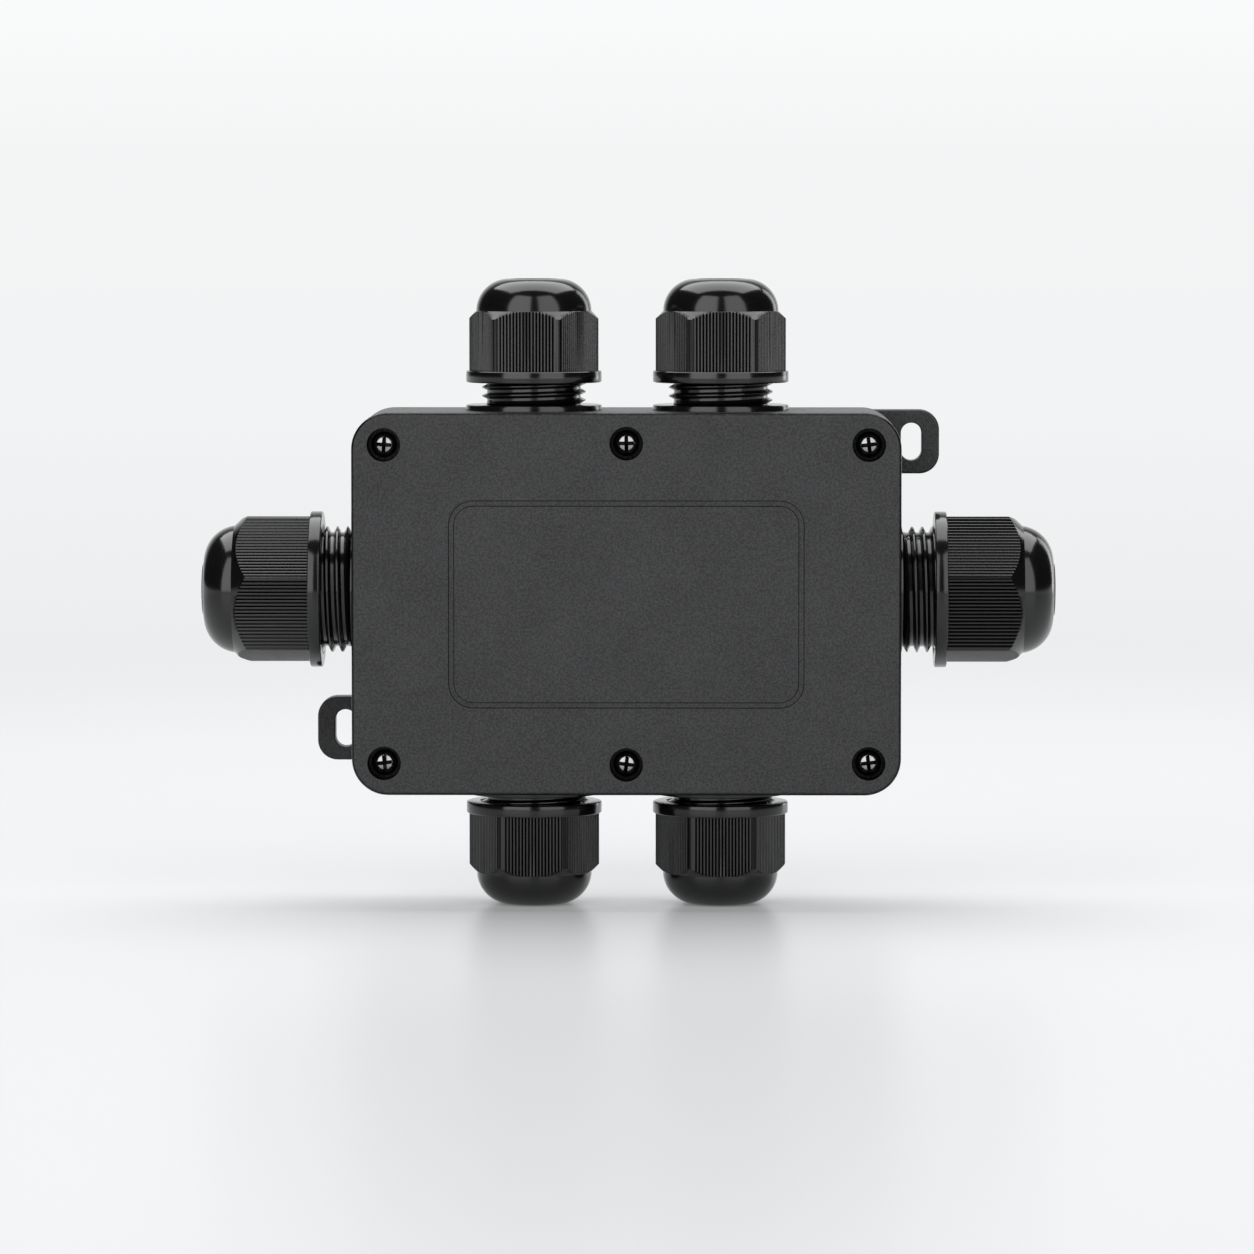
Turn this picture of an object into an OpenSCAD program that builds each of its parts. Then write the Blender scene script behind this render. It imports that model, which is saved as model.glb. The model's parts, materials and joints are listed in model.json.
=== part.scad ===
// Waterproof junction box with six cable glands, a screwed lid and a terminal strip.
// The wall plane is y = 0, the lid faces -Y, and z = 0 is the middle of the box.

/* [Box] */
// Width of the box, left to right
box_w = 120; // [112:1:180]
// Height of the box, bottom to top
box_h = 83.6; // [80:0.4:140]
// Depth of wall left between the large glands' threads and the lid's seat
thread_cover = 1.6; // [1.4:0.1:20]
// Radius of the box's four upright corners
corner_r = 8; // [5:0.5:9]
// Thickness of the side walls
wall_t = 3; // [2.5:0.1:3.6]
// Thickness of the back panel
back_t = 3; // [2:0.1:3]

/* [Lid] */
// Height of the lid above its seat
lid_t = 5; // [4.8:0.1:8]
// Rounding of the lid's front edge
lid_edge_r = 0.9; // [0.5:0.1:1.5]
// Thickness of the lid's plate over the wiring space
lid_plate_t = 2.6; // [2:0.1:3.4]
// Width of the outlined panel on the lid
panel_w = 77.6; // [50:0.2:84]
// Height of the outlined panel on the lid
panel_h = 45.3; // [30:0.1:50]
// Corner radius of the outlined panel
panel_r = 5.4; // [3:0.1:8]
// Width of the panel's outline groove
panel_line_w = 1.2; // [0.8:0.1:2]
// Depth of the panel's outline groove
panel_line_depth = 0.3; // [0.2:0.05:0.6]

/* [Lid seal] */
// Distance from the box's outside to the gasket
gasket_inset = 1.2; // [0.8:0.1:1.3]
// Width of the gasket
gasket_w = 1.3; // [1:0.1:1.5]
// Thickness of the gasket
gasket_t = 0.8; // [0.6:0.1:0.9]

/* [Lid screws] */
// Distance of the outer screw columns from the side of the box
screw_inset_x = 7.1; // [6.6:0.1:9]
// Distance of the screw rows from the top and bottom of the box
screw_inset_z = 7; // [6.9:0.1:8]
// Distance by which the middle screws stand further out than the corner screws
screw_mid_out = 0.3; // [0:0.1:0.3]
// Thread diameter of the lid screws
screw_d = 3; // [2.5:0.1:3]
// Length of a lid screw's shank
screw_len = 10; // [8:0.5:12]
// Diameter of a lid screw's head
screw_head_d = 5.3; // [4.8:0.1:6]
// Height of a lid screw's head
screw_head_h = 2; // [1.6:0.1:2.2]
// Diameter of the recess round each screw
recess_d = 7.3; // [6.6:0.1:8]
// Depth of the recess round each screw
recess_depth = 3.4; // [2.8:0.1:3.4]
// Diameter of the threaded brass inserts
insert_d = 4.2; // [4:0.1:4.4]
// Length of the threaded brass inserts
insert_len = 6; // [4:0.5:7]

/* [Mounting ears] */
// Reach of each ear beyond the side wall
ear_reach = 9.2; // [8.4:0.1:14]
// Height of each ear
ear_h = 14.2; // [13:0.2:18]
// Thickness of each ear
ear_t = 5; // [3:0.2:6]
// Radius of the ears' outer corners
ear_r = 4.4; // [2:0.1:6]
// Width of the slot in each ear
slot_w = 4.6; // [4.4:0.1:5]
// Length of the slot in each ear
slot_len = 8.4; // [6:0.1:9]
// Distance of each slot from the side wall
slot_off = 3; // [2.8:0.1:5]
// Distance of the right ear's slot from the top of the box
right_slot_drop = 7.5; // [7.4:0.1:20]
// Distance of the left ear's slot from the bottom of the box
left_slot_rise = 12.1; // [7.4:0.1:20]

/* [Gland places] */
// Distance of the small glands from the middle of the box
small_gland_x = 20.6; // [20:0.1:28]
// Height of the large glands above the middle of the box
large_gland_z = 2.15; // [-4:0.05:4]
// Gap between the large glands' ring nuts and the back panel
ringnut_gap = 0.3; // [0.2:0.1:2]

/* [Small glands] */
// Outer diameter of the thread
small_thread_d = 22.9; // [22:0.1:23.2]
// Depth of the thread
small_thread_depth = 1.1; // [0.8:0.05:1.2]
// Pitch of the thread
small_pitch = 1.9; // [1.5:0.1:2]
// Diameter of the flange on the box wall
small_flange_d = 30; // [28:0.2:30.4]
// Thickness of the flange on the box wall
small_flange_t = 1.2; // [1:0.1:1.6]
// Diameter of the neck through the wall
small_neck_d = 20; // [19:0.1:20.4]
// Diameter of the cable passage
small_bore_d = 15; // [13:0.1:15.4]
// Diameter of the guide for the clamping insert
small_guide_d = 17.8; // [17.4:0.1:18.2]
// Length of the nut
small_nut_len = 22.8; // [22:0.1:26]
// Diameter of the nut's collar
small_collar_d = 29.9; // [29:0.1:31]
// Height of the nut's collar
small_collar_h = 2.6; // [2:0.1:3]
// Distance across the nut's flats
small_flats_d = 25.5; // [25.4:0.1:26]
// Diameter over the nut's corners
small_corners_d = 28.7; // [28:0.1:29]
// Diameter at the foot of the nut's dome
small_dome_d = 25.4; // [25:0.1:25.4]
// Rounding of the nut's dome
small_dome_r = 7.1; // [6:0.1:7.4]
// Diameter of the opening in the nut's dome
small_opening_d = 10.8; // [10:0.1:11]
// Diameter of the hole in the cable seal
small_cable_d = 8; // [6:0.1:8.4]
// Distance across the flats of the locknut
small_locknut_d = 24; // [23.6:0.1:24.6]
// Turn of the upper left nut's corners
top_left_turn = -6; // [-30:0.1:30]
// Turn of the upper right nut's corners
top_right_turn = 2.4; // [-30:0.1:30]
// Turn of the lower left nut's corners
bottom_left_turn = 0.7; // [-30:0.1:30]
// Turn of the lower right nut's corners
bottom_right_turn = -2; // [-30:0.1:30]
// Thread left showing under the upper nuts
top_thread_show = 4.9; // [2:0.1:6]
// Thread left showing under the lower nuts
bottom_thread_show = 1.7; // [1:0.1:6]

/* [Large glands] */
// Outer diameter of the thread
large_thread_d = 27.8; // [27:0.1:28]
// Depth of the thread
large_thread_depth = 1.3; // [1:0.05:1.4]
// Pitch of the thread
large_pitch = 2.25; // [1.5:0.05:2.5]
// Thickness of the plain shoulder on the box wall
large_shoulder_t = 0.6; // [0.4:0.1:1]
// Diameter of the neck through the wall
large_neck_d = 24; // [23:0.1:24.4]
// Diameter of the cable passage
large_bore_d = 18.6; // [17:0.1:19]
// Diameter of the guide for the clamping insert
large_guide_d = 21.8; // [21.4:0.1:22]
// Length of the nut
large_nut_len = 26.3; // [25.6:0.1:30]
// Diameter of the nut's collar
large_collar_d = 34.2; // [33.6:0.1:34.4]
// Height of the nut's collar
large_collar_h = 2.7; // [2:0.1:3]
// Distance across the nut's flats
large_flats_d = 29.9; // [29.4:0.1:30.2]
// Diameter over the nut's corners
large_corners_d = 34; // [33:0.1:34.2]
// Diameter at the foot of the nut's dome
large_dome_d = 28.2; // [27.8:0.1:28.6]
// Rounding of the nut's dome
large_dome_r = 7.7; // [6.6:0.1:8]
// Diameter of the opening in the nut's dome
large_opening_d = 12.4; // [11:0.1:12.6]
// Diameter of the hole in the cable seal
large_cable_d = 9.6; // [8:0.1:10]
// Diameter of the slotted ring nut inside the box
large_ringnut_d = 28.4; // [27.6:0.1:28.6]
// Turn of the side nuts' corners, the same way round on both sides
side_turn = 18; // [-30:0.1:30]
// Thread left showing under the left nut
left_thread_show = 6.6; // [3:0.1:8.4]
// Thread left showing under the right nut
right_thread_show = 7.1; // [3:0.1:8.4]

/* [Gland fits] */
// Thickness of the locknuts inside the box
locknut_t = 5; // [4:0.2:6]
// Thickness of the rubber rings under the glands
ring_t = 1; // [0.8:0.1:1.4]
// Width of the rubber rings under the small glands
small_ring_w = 2.6; // [1.5:0.1:3]
// Width of the rubber rings under the large glands
large_ring_w = 1.4; // [1:0.1:1.6]
// Gap left under a nut that is screwed right down
nut_stop_gap = 0.3; // [0.2:0.1:0.6]
// Wall of the clamping inserts
claw_t = 1.6; // [1.2:0.1:1.8]
// Width of the cuts between the insert's fingers
claw_cut_w = 1; // [0.6:0.1:1.4]
// Wall of the cable seals at their outer end
seal_lip_t = 1.1; // [0.8:0.1:1.1]
// Depth of the small cable seals' ends inside their nuts
small_seal_sunk = 0.3; // [0.1:0.1:0.6]
// Height by which the large cable seals stand out of their nuts
large_seal_proud = 0.3; // [0.1:0.1:0.6]

/* [Terminal strip] */
// Number of poles
poles = 5; // [4:1:6]
// Distance between poles
pole_pitch = 10; // [9:0.1:10.4]
// Width of each pole's housing
pole_w = 8.6; // [8:0.1:8.8]
// Length of each pole's housing, along the wires
pole_len = 20; // [18:0.2:22]
// Height of each pole's housing
pole_h = 9.5; // [9:0.1:11]
// Height of the screw towers above the housing
tower_h = 3.5; // [2:0.1:4]
// Diameter of the screw towers
tower_d = 6.6; // [6:0.1:7]
// Outer diameter of the brass sleeves
sleeve_d = 6.2; // [5.6:0.1:6.4]
// Hole for the wire in each sleeve
sleeve_bore_d = 4; // [3:0.1:4.2]
// Distance between the two clamp screws of a pole
clamp_span = 10; // [8:0.2:11]
// Thread diameter of the clamp screws
clamp_d = 3; // [2.6:0.1:3.2]
// Height of the posts that carry the strip
strip_post_h = 3; // [2:0.1:4]
// Diameter of the posts that carry the strip
strip_post_d = 7; // [6:0.1:8]
// Thread diameter of the strip's fixing screws
fix_d = 3; // [2.6:0.1:3.2]
// Length of the strip's fixing screws below the head
fix_len = 12; // [11:0.2:12.4]

/* [Hidden] */
$fn = 64;

// Small allowance by which a cut runs past the face that it opens
cut = 0.5;
// Play between pieces that slide, screw or drop into each other
slide_play = 0.2;
thread_play = 0.15;
insert_play = 0.05;
seat_play = 0.1;

// Box
gland_y = back_t + large_ringnut_d / 2 + ringnut_gap;
base_d = gland_y + large_thread_d / 2 + thread_cover;
box_d = base_d + lid_t;
post_r = insert_d / 2 + gasket_w + 1.6;
insert_wall = 0.8;
lid_recess_t = lid_t - lid_plate_t;
pilot_extra = 2;
head_seat_y = box_d - recess_depth;

// Cross drive and edge of a lid screw's head
drive_w = 0.8;
drive_len = 3.4;
drive_depth = 1.1;
head_edge = 0.7;

// Gland seats, and the inside of the nuts
neck_spare = 1.5;
neck_out = locknut_t + neck_spare;
wall_hole_play = 0.2;
cone_drop = 2.9;
claw_head_h = 1.8;
claw_gap = 0.3;
claw_guide_len = 1.5;
cone_play = 0.5;
opening_land = 1.2;
mouth_chamfer = 0.6;
notch_w = 3;
notch_depth = 0.9;
notch_floor = 1.5;
chamfer_rise = 1.04;

// Gland kinds, as lists that the functions below read
SMALL = [small_thread_d, small_thread_depth, small_pitch, small_flange_d, small_flange_t,
    small_neck_d, small_bore_d, small_guide_d, small_nut_len, small_collar_d, small_collar_h,
    small_flats_d, small_corners_d, small_dome_d, small_dome_r, small_opening_d,
    small_cable_d, max(top_thread_show, bottom_thread_show), small_ring_w, -small_seal_sunk];
LARGE = [large_thread_d, large_thread_depth, large_pitch, large_thread_d, large_shoulder_t,
    large_neck_d, large_bore_d, large_guide_d, large_nut_len, large_collar_d, large_collar_h,
    large_flats_d, large_corners_d, large_dome_d, large_dome_r, large_opening_d,
    large_cable_d, max(left_thread_show, right_thread_show), large_ring_w, large_seal_proud];
function thread_r(k) = k[0] / 2;
function root_r(k) = k[0] / 2 - k[1];
function pitch(k) = k[2];
function flange_r(k) = k[3] / 2;
function flange_t(k) = k[4];
function neck_r(k) = k[5] / 2;
function bore_r(k) = k[6] / 2;
function guide_r(k) = k[7] / 2;
function nut_len(k) = k[8];
function collar_r(k) = k[9] / 2;
function collar_h(k) = k[10];
function flats_r(k) = k[11] / 2;
function corners_r(k) = k[12] / 2;
function dome_foot_r(k) = k[13] / 2;
function dome_r(k) = k[14];
function opening_r(k) = k[15] / 2;
function cable_r(k) = k[16] / 2;
function longest_show(k) = k[17];
function ring_w(k) = k[18];
function seal_end_z(k) = nut_len(k) + k[19];

// Heights inside a nut, from its rear face, and the end of the gland body, from the wall
function nut_bore_r(k) = thread_r(k) + thread_play;
function dome_z(k) = nut_len(k) - dome_r(k);
function cone_z(k) = dome_z(k) - cone_drop;
function cone_top_z(k) = nut_len(k) - opening_land;
function cone_slope(k) = (nut_bore_r(k) - opening_r(k)) / (cone_top_z(k) - cone_z(k));
function cone_r(k, z) = nut_bore_r(k) - (z - cone_z(k)) * cone_slope(k);
function claw_z(k) = cone_z(k) - claw_head_h;
function skirt_z(k) = claw_z(k) - longest_show(k) - claw_guide_len;
function body_end_z(k) = flange_t(k) + nut_stop_gap + claw_z(k) - claw_gap;
function guide_z(k) = flange_t(k) + nut_stop_gap + skirt_z(k) - claw_gap;
function claw_in_r(k) = guide_r(k) - slide_play - claw_t;
function seal_r(k) = claw_in_r(k) - seat_play;

// Glands: kind, centre of the seat on the wall [x, z], direction, thread showing, turn of the nut
TOP_LEFT = [SMALL, [-small_gland_x, box_h / 2], [0, 0, 0], top_thread_show, top_left_turn];
TOP_RIGHT = [SMALL, [small_gland_x, box_h / 2], [0, 0, 0], top_thread_show, top_right_turn];
BOTTOM_LEFT = [SMALL, [-small_gland_x, -box_h / 2], [180, 0, 0], bottom_thread_show, bottom_left_turn];
BOTTOM_RIGHT = [SMALL, [small_gland_x, -box_h / 2], [180, 0, 0], bottom_thread_show, bottom_right_turn];
LEFT = [LARGE, [-box_w / 2, large_gland_z], [0, -90, 0], left_thread_show, -side_turn];
RIGHT = [LARGE, [box_w / 2, large_gland_z], [0, 90, 0], right_thread_show, side_turn];
GLANDS = [TOP_LEFT, TOP_RIGHT, BOTTOM_LEFT, BOTTOM_RIGHT, LEFT, RIGHT];

// Screw places, row by row from the top left
SCREWS = [for (sz = [1, -1]) for (sx = [-1, 0, 1])
    [sx * (box_w / 2 - screw_inset_x),
        sz * (box_h / 2 - screw_inset_z + (sx == 0 ? screw_mid_out : 0))]];

// Terminal strip
strip_y = back_t + strip_post_h;
sleeve_y = strip_y + pole_h / 2;
tower_top_y = strip_y + pole_h + tower_h;
sleeve_sunk = 1;
sleeve_len = pole_len - 2 * sleeve_sunk;
clamp_sunk = 0.8;
clamp_slot_w = 0.6;
fix_slot_w = 0.8;
web_h = 6;
web_len = 12;
fix_x = pole_pitch * (poles - 2) / 2;
fix_head_d = 5.4;
fix_head_h = 1.8;
fix_boss_wall = 0.6;
POLES = [for (i = [0 : poles - 1]) (i - (poles - 1) / 2) * pole_pitch];

// Turns a shape built upwards so that it stands out of the wall plane, towards the lid
module to_front(y = 0) { translate([0, -y, 0]) rotate([90, 0, 0]) children(); }

// Puts a shape built upwards on a gland's seat, pointing out of the box
module on_seat(g) { translate([g[1][0], -gland_y, g[1][1]]) rotate(g[2]) children(); }

// Puts a shape on a gland's seat where its nut stands
module at_nut(g) { on_seat(g) translate([0, 0, flange_t(g[0]) + g[3]]) children(); }

module rounded_rect(w, h, r) {
    for (sx = [-1, 1]) for (sz = [-1, 1]) translate([sx * (w / 2 - r), sz * (h / 2 - r)]) circle(r);
    square([w - 2 * r, h], center = true);
    square([w, h - 2 * r], center = true);
}

// The outline of the box moved inwards, with the screw posts left out of it
module inner_outline(inset, post) {
    difference() {
        rounded_rect(box_w - 2 * inset, box_h - 2 * inset, corner_r - inset);
        for (p = SCREWS) {
            side = sign(p[0]);
            up = sign(p[1]);
            translate(p) circle(post);
            if (side == 0) translate([0, p[1] + up * box_h / 2])
                square([2 * post, box_h], center = true);
            else {
                translate([p[0] + side * box_w / 2, p[1] + up * (box_h / 2 - post)])
                    square([box_w, box_h], center = true);
                translate([p[0] + side * (box_w / 2 - post), p[1] + up * box_h / 2])
                    square([box_w, box_h], center = true);
            }
        }
    }
}

module cavity_outline() { inner_outline(wall_t, post_r); }

module gasket_outline(play = 0) {
    difference() {
        inner_outline(gasket_inset - play, insert_d / 2 + insert_wall - play);
        inner_outline(gasket_inset + gasket_w + play, insert_d / 2 + insert_wall + gasket_w + play);
    }
}

module ear(side, z) {
    out_x = box_w / 2 + ear_reach;
    root_x = box_w / 2 - corner_r - 2;
    to_front() linear_extrude(ear_t) difference() {
        union() {
            translate([side * (out_x - ear_r + root_x) / 2, z])
                square([out_x - ear_r - root_x, ear_h], center = true);
            translate([side * (out_x - ear_r), z]) square([2 * ear_r, ear_h - 2 * ear_r], center = true);
            for (s = [-1, 1]) translate([side * (out_x - ear_r), z + s * (ear_h / 2 - ear_r)])
                circle(ear_r);
        }
        translate([side * (box_w / 2 + slot_off), z]) {
            square([slot_w, slot_len - slot_w], center = true);
            for (s = [-1, 1]) translate([0, s * (slot_len - slot_w) / 2]) circle(slot_w / 2);
        }
    }
}

module gland_hole(g) {
    k = g[0];
    on_seat(g) translate([0, 0, -wall_t - cut])
        cylinder(r = neck_r(k) + wall_hole_play, h = wall_t + 2 * cut);
    on_seat(g) translate([0, 0, -ring_t])
        cylinder(r = neck_r(k) + wall_hole_play + ring_w(k), h = ring_t + cut);
}

module base() {
    color("#3c3d3f") {
        difference() {
            union() {
                to_front() linear_extrude(base_d) rounded_rect(box_w, box_h, corner_r);
                ear(1, box_h / 2 - right_slot_drop);
                ear(-1, left_slot_rise - box_h / 2);
            }
            to_front(back_t) linear_extrude(base_d) cavity_outline();
            for (g = GLANDS) gland_hole(g);
            for (p = SCREWS) translate([p[0], 0, p[1]]) {
                to_front(base_d - insert_len) cylinder(d = insert_d, h = insert_len + cut);
                to_front(head_seat_y - screw_len - pilot_extra)
                    cylinder(d = screw_d + 2 * slide_play, h = screw_len);
            }
        }
        for (s = [-1, 1]) translate([s * fix_x, 0, 0]) difference() {
            to_front(back_t - cut) cylinder(d = strip_post_d, h = strip_post_h + cut);
            to_front(back_t) cylinder(d = fix_d + insert_play, h = strip_post_h + cut);
        }
    }
}

// A column with a rounded front edge
module edge_column(r, h, edge) {
    rotate_extrude() {
        square([r - edge, h]);
        square([r, h - edge]);
        translate([r - edge, h - edge]) circle(edge);
    }
}

// A bar with both front edges rounded, as long as len
module edge_bar(w, h, edge, len) {
    rotate([90, 0, 0]) linear_extrude(len, center = true) {
        translate([-w / 2, 0]) square([w, h - edge]);
        translate([edge - w / 2, 0]) square([w - 2 * edge, h]);
        for (s = [-1, 1]) translate([s * (w / 2 - edge), h - edge]) circle(edge);
    }
}

module lid_shell() {
    to_front(base_d) {
        edge_bar(box_w, lid_t, lid_edge_r, box_h - 2 * corner_r);
        rotate([0, 0, 90]) edge_bar(box_h, lid_t, lid_edge_r, box_w - 2 * corner_r);
        for (sx = [-1, 1]) for (sz = [-1, 1])
            translate([sx * (box_w / 2 - corner_r), sz * (box_h / 2 - corner_r), 0])
                edge_column(corner_r, lid_t, lid_edge_r);
    }
}

module lid() {
    color("#434446") difference() {
        lid_shell();
        to_front(base_d - cut) linear_extrude(lid_recess_t + cut) cavity_outline();
        to_front(base_d - cut) linear_extrude(gasket_t + cut) gasket_outline(seat_play / 2);
        for (p = SCREWS) translate([p[0], 0, p[1]]) {
            to_front(base_d - cut) cylinder(d = screw_d + 2 * slide_play, h = lid_t + 2 * cut);
            to_front(head_seat_y) cylinder(d = recess_d, h = recess_depth + cut);
        }
        to_front(box_d - panel_line_depth) linear_extrude(panel_line_depth + cut) difference() {
            rounded_rect(panel_w, panel_h, panel_r);
            rounded_rect(panel_w - 2 * panel_line_w, panel_h - 2 * panel_line_w,
                panel_r - panel_line_w);
        }
    }
}

module lid_gasket() {
    color("#1d1d1f") to_front(base_d) linear_extrude(gasket_t) gasket_outline();
}

module screw_inserts() {
    color("#b08d45") for (p = SCREWS) translate([p[0], 0, p[1]])
        to_front(base_d - insert_len) difference() {
            cylinder(d = insert_d, h = insert_len);
            translate([0, 0, -cut]) cylinder(r = screw_d / 2 + insert_play, h = insert_len + 2 * cut);
        }
}

module lid_screw(index) {
    p = SCREWS[index - 1];
    color("#17181a") translate([p[0], 0, p[1]]) to_front(head_seat_y) difference() {
        union() {
            translate([0, 0, -screw_len]) cylinder(d = screw_d, h = screw_len + cut);
            edge_column(screw_head_d / 2, screw_head_h, head_edge);
        }
        for (a = [0, 90]) rotate([0, 0, a]) translate([0, 0, screw_head_h])
            cube([drive_len, drive_w, 2 * drive_depth], center = true);
    }
}

module terminal_block() {
    color("#e4e0d3") difference() {
        union() {
            for (x = POLES) translate([x, 0, 0]) {
                to_front(strip_y) linear_extrude(pole_h) square([pole_w, pole_len], center = true);
                for (s = [-1, 1]) translate([0, 0, s * clamp_span / 2])
                    to_front(strip_y) cylinder(d = tower_d, h = pole_h + tower_h);
            }
            to_front(strip_y) linear_extrude(web_h)
                square([pole_pitch * (poles - 1), web_len], center = true);
            for (s = [-1, 1]) translate([s * fix_x, 0, 0])
                to_front(strip_y) cylinder(d = fix_head_d + 2 * fix_boss_wall, h = pole_h);
        }
        for (x = POLES) translate([x, -sleeve_y, 0]) {
            cylinder(d = sleeve_d + 2 * seat_play, h = pole_len + 2 * cut, center = true);
            for (s = [-1, 1]) translate([0, 0, s * clamp_span / 2]) rotate([90, 0, 0])
                cylinder(d = clamp_d + 2 * seat_play, h = pole_h + tower_h);
        }
        for (s = [-1, 1]) translate([s * fix_x, 0, 0])
            to_front(strip_y - cut) cylinder(d = fix_d + 2 * slide_play, h = pole_h + tower_h);
    }
}

module terminal_sleeves() {
    color("#b08d45") for (x = POLES) translate([x, -sleeve_y, 0]) difference() {
        cylinder(d = sleeve_d, h = sleeve_len, center = true);
        cylinder(d = sleeve_bore_d, h = sleeve_len + 2 * cut, center = true);
        for (s = [-1, 1]) translate([0, 0, s * clamp_span / 2]) rotate([90, 0, 0])
            cylinder(d = clamp_d + 2 * insert_play, h = sleeve_d);
    }
}

module terminal_screws() {
    top_y = tower_top_y - clamp_sunk;
    len = top_y - sleeve_y - sleeve_bore_d / 2;
    color("#9a9da1") for (x = POLES) for (s = [-1, 1])
        translate([x, 0, s * clamp_span / 2]) to_front(top_y - len) difference() {
            cylinder(d = clamp_d, h = len);
            translate([0, 0, len]) cube([clamp_d + cut, clamp_slot_w, 2 * clamp_slot_w], center = true);
        }
}

module terminal_fixing_screws() {
    color("#9a9da1") for (s = [-1, 1]) translate([s * fix_x, 0, 0]) to_front(strip_y + pole_h)
        difference() {
            union() {
                translate([0, 0, -fix_len]) cylinder(d = fix_d, h = fix_len + cut);
                cylinder(d = fix_head_d, h = fix_head_h);
            }
            translate([0, 0, fix_head_h])
                cube([fix_head_d + cut, fix_slot_w, 2 * fix_slot_w], center = true);
        }
}

module gland_body(g) {
    k = g[0];
    end_z = body_end_z(k);
    turns = floor((end_z - flange_t(k)) / pitch(k));
    thread_end_z = flange_t(k) + turns * pitch(k);
    inner_z = -wall_t - neck_out;
    crests = [for (i = [0 : turns - 1]) for (p = [
        [root_r(k), flange_t(k) + i * pitch(k)],
        [thread_r(k), flange_t(k) + (i + 0.5) * pitch(k)]]) p];
    color("#141416") on_seat(g) rotate_extrude() polygon(concat([
        [bore_r(k), inner_z], [neck_r(k), inner_z], [neck_r(k), 0],
        [flange_r(k), 0], [flange_r(k), flange_t(k)]],
        crests, [[root_r(k), thread_end_z], [root_r(k), end_z],
        [guide_r(k), end_z], [guide_r(k), guide_z(k)], [bore_r(k), guide_z(k)]]));
}

module gland_ring(g) {
    k = g[0];
    inner = neck_r(k) + wall_hole_play;
    color("#232325") on_seat(g) translate([0, 0, -ring_t]) difference() {
        cylinder(r = inner + ring_w(k), h = ring_t);
        translate([0, 0, -cut]) cylinder(r = inner, h = ring_t + 2 * cut);
    }
}

module small_locknut(g) {
    k = g[0];
    color("#1b1b1d") on_seat(g) translate([0, 0, -wall_t - locknut_t]) difference() {
        cylinder(r = small_locknut_d / sqrt(3), h = locknut_t, $fn = 6);
        translate([0, 0, -cut]) cylinder(r = neck_r(k) + seat_play, h = locknut_t + 2 * cut);
    }
}

module large_locknut(g) {
    k = g[0];
    notches = 8;
    color("#1b1b1d") on_seat(g) translate([0, 0, -wall_t - locknut_t]) difference() {
        cylinder(d = large_ringnut_d, h = locknut_t);
        translate([0, 0, -cut]) cylinder(r = neck_r(k) + seat_play, h = locknut_t + 2 * cut);
        for (i = [0 : notches - 1]) rotate([0, 0, i * 360 / notches])
            translate([large_ringnut_d / 2, 0, 0])
                cube([2 * notch_depth, notch_w, 2 * (locknut_t - notch_floor)], center = true);
    }
}

module claw(g) {
    k = g[0];
    cuts = 4;
    in_r = claw_in_r(k);
    skirt_r = guide_r(k) - slide_play;
    head_r = nut_bore_r(k) - 2 * cone_play;
    tip_r = in_r + claw_t / 2;
    head_z = cone_z(k) + cone_play / cone_slope(k);
    tip_z = head_z + (head_r - tip_r) / cone_slope(k);
    color("#1a1a1c") at_nut(g) difference() {
        rotate_extrude() polygon([[in_r, skirt_z(k)], [skirt_r, skirt_z(k)], [skirt_r, claw_z(k)],
            [head_r, claw_z(k)], [head_r, head_z], [tip_r, tip_z], [in_r, tip_z]]);
        for (i = [0 : cuts - 1]) rotate([0, 0, i * 180 / cuts])
            translate([0, 0, head_z + (tip_z - claw_z(k)) / 2])
                cube([3 * head_r, claw_cut_w, tip_z - claw_z(k)], center = true);
    }
}

module cable_seal(g) {
    k = g[0];
    lip_r = cable_r(k) + seal_lip_t;
    foot_z = claw_z(k) - claw_head_h;
    lip_z = cone_z(k) + (nut_bore_r(k) - cone_play - lip_r) / cone_slope(k);
    shoulder_z = cone_z(k) + (nut_bore_r(k) - cone_play - seal_r(k)) / cone_slope(k);
    color("#2a2a2c") at_nut(g) rotate_extrude() polygon([[cable_r(k), foot_z], [seal_r(k), foot_z],
        [seal_r(k), shoulder_z], [lip_r, lip_z], [lip_r, seal_end_z(k)],
        [cable_r(k), seal_end_z(k)]]);
}

module nut_dome_outline(k) {
    square([dome_foot_r(k) - dome_r(k), nut_len(k)]);
    square([dome_foot_r(k), dome_z(k)]);
    intersection() {
        translate([dome_foot_r(k) - dome_r(k), dome_z(k)]) circle(dome_r(k));
        square([dome_foot_r(k), nut_len(k)]);
    }
}

module gland_nut(g) {
    k = g[0];
    hex_top_z = dome_z(k) + (flats_r(k) - dome_foot_r(k)) * chamfer_rise;
    corner_drop = (corners_r(k) - dome_foot_r(k)) * chamfer_rise;
    color("#161618") at_nut(g) difference() {
        union() {
            cylinder(r = collar_r(k), h = collar_h(k));
            rotate_extrude() nut_dome_outline(k);
            intersection() {
                rotate([0, 0, g[4]]) cylinder(r = flats_r(k) * 2 / sqrt(3), h = hex_top_z, $fn = 6);
                rotate_extrude() polygon([[0, 0], [corners_r(k), 0],
                    [corners_r(k), hex_top_z - corner_drop], [dome_foot_r(k), hex_top_z],
                    [0, hex_top_z]]);
            }
        }
        rotate_extrude() polygon([[0, -cut], [nut_bore_r(k) + mouth_chamfer, -cut],
            [nut_bore_r(k) + mouth_chamfer, 0], [nut_bore_r(k), mouth_chamfer], [nut_bore_r(k), cone_z(k)],
            [opening_r(k), cone_top_z(k)], [opening_r(k), nut_len(k) + cut],
            [0, nut_len(k) + cut]]);
    }
}

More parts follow.
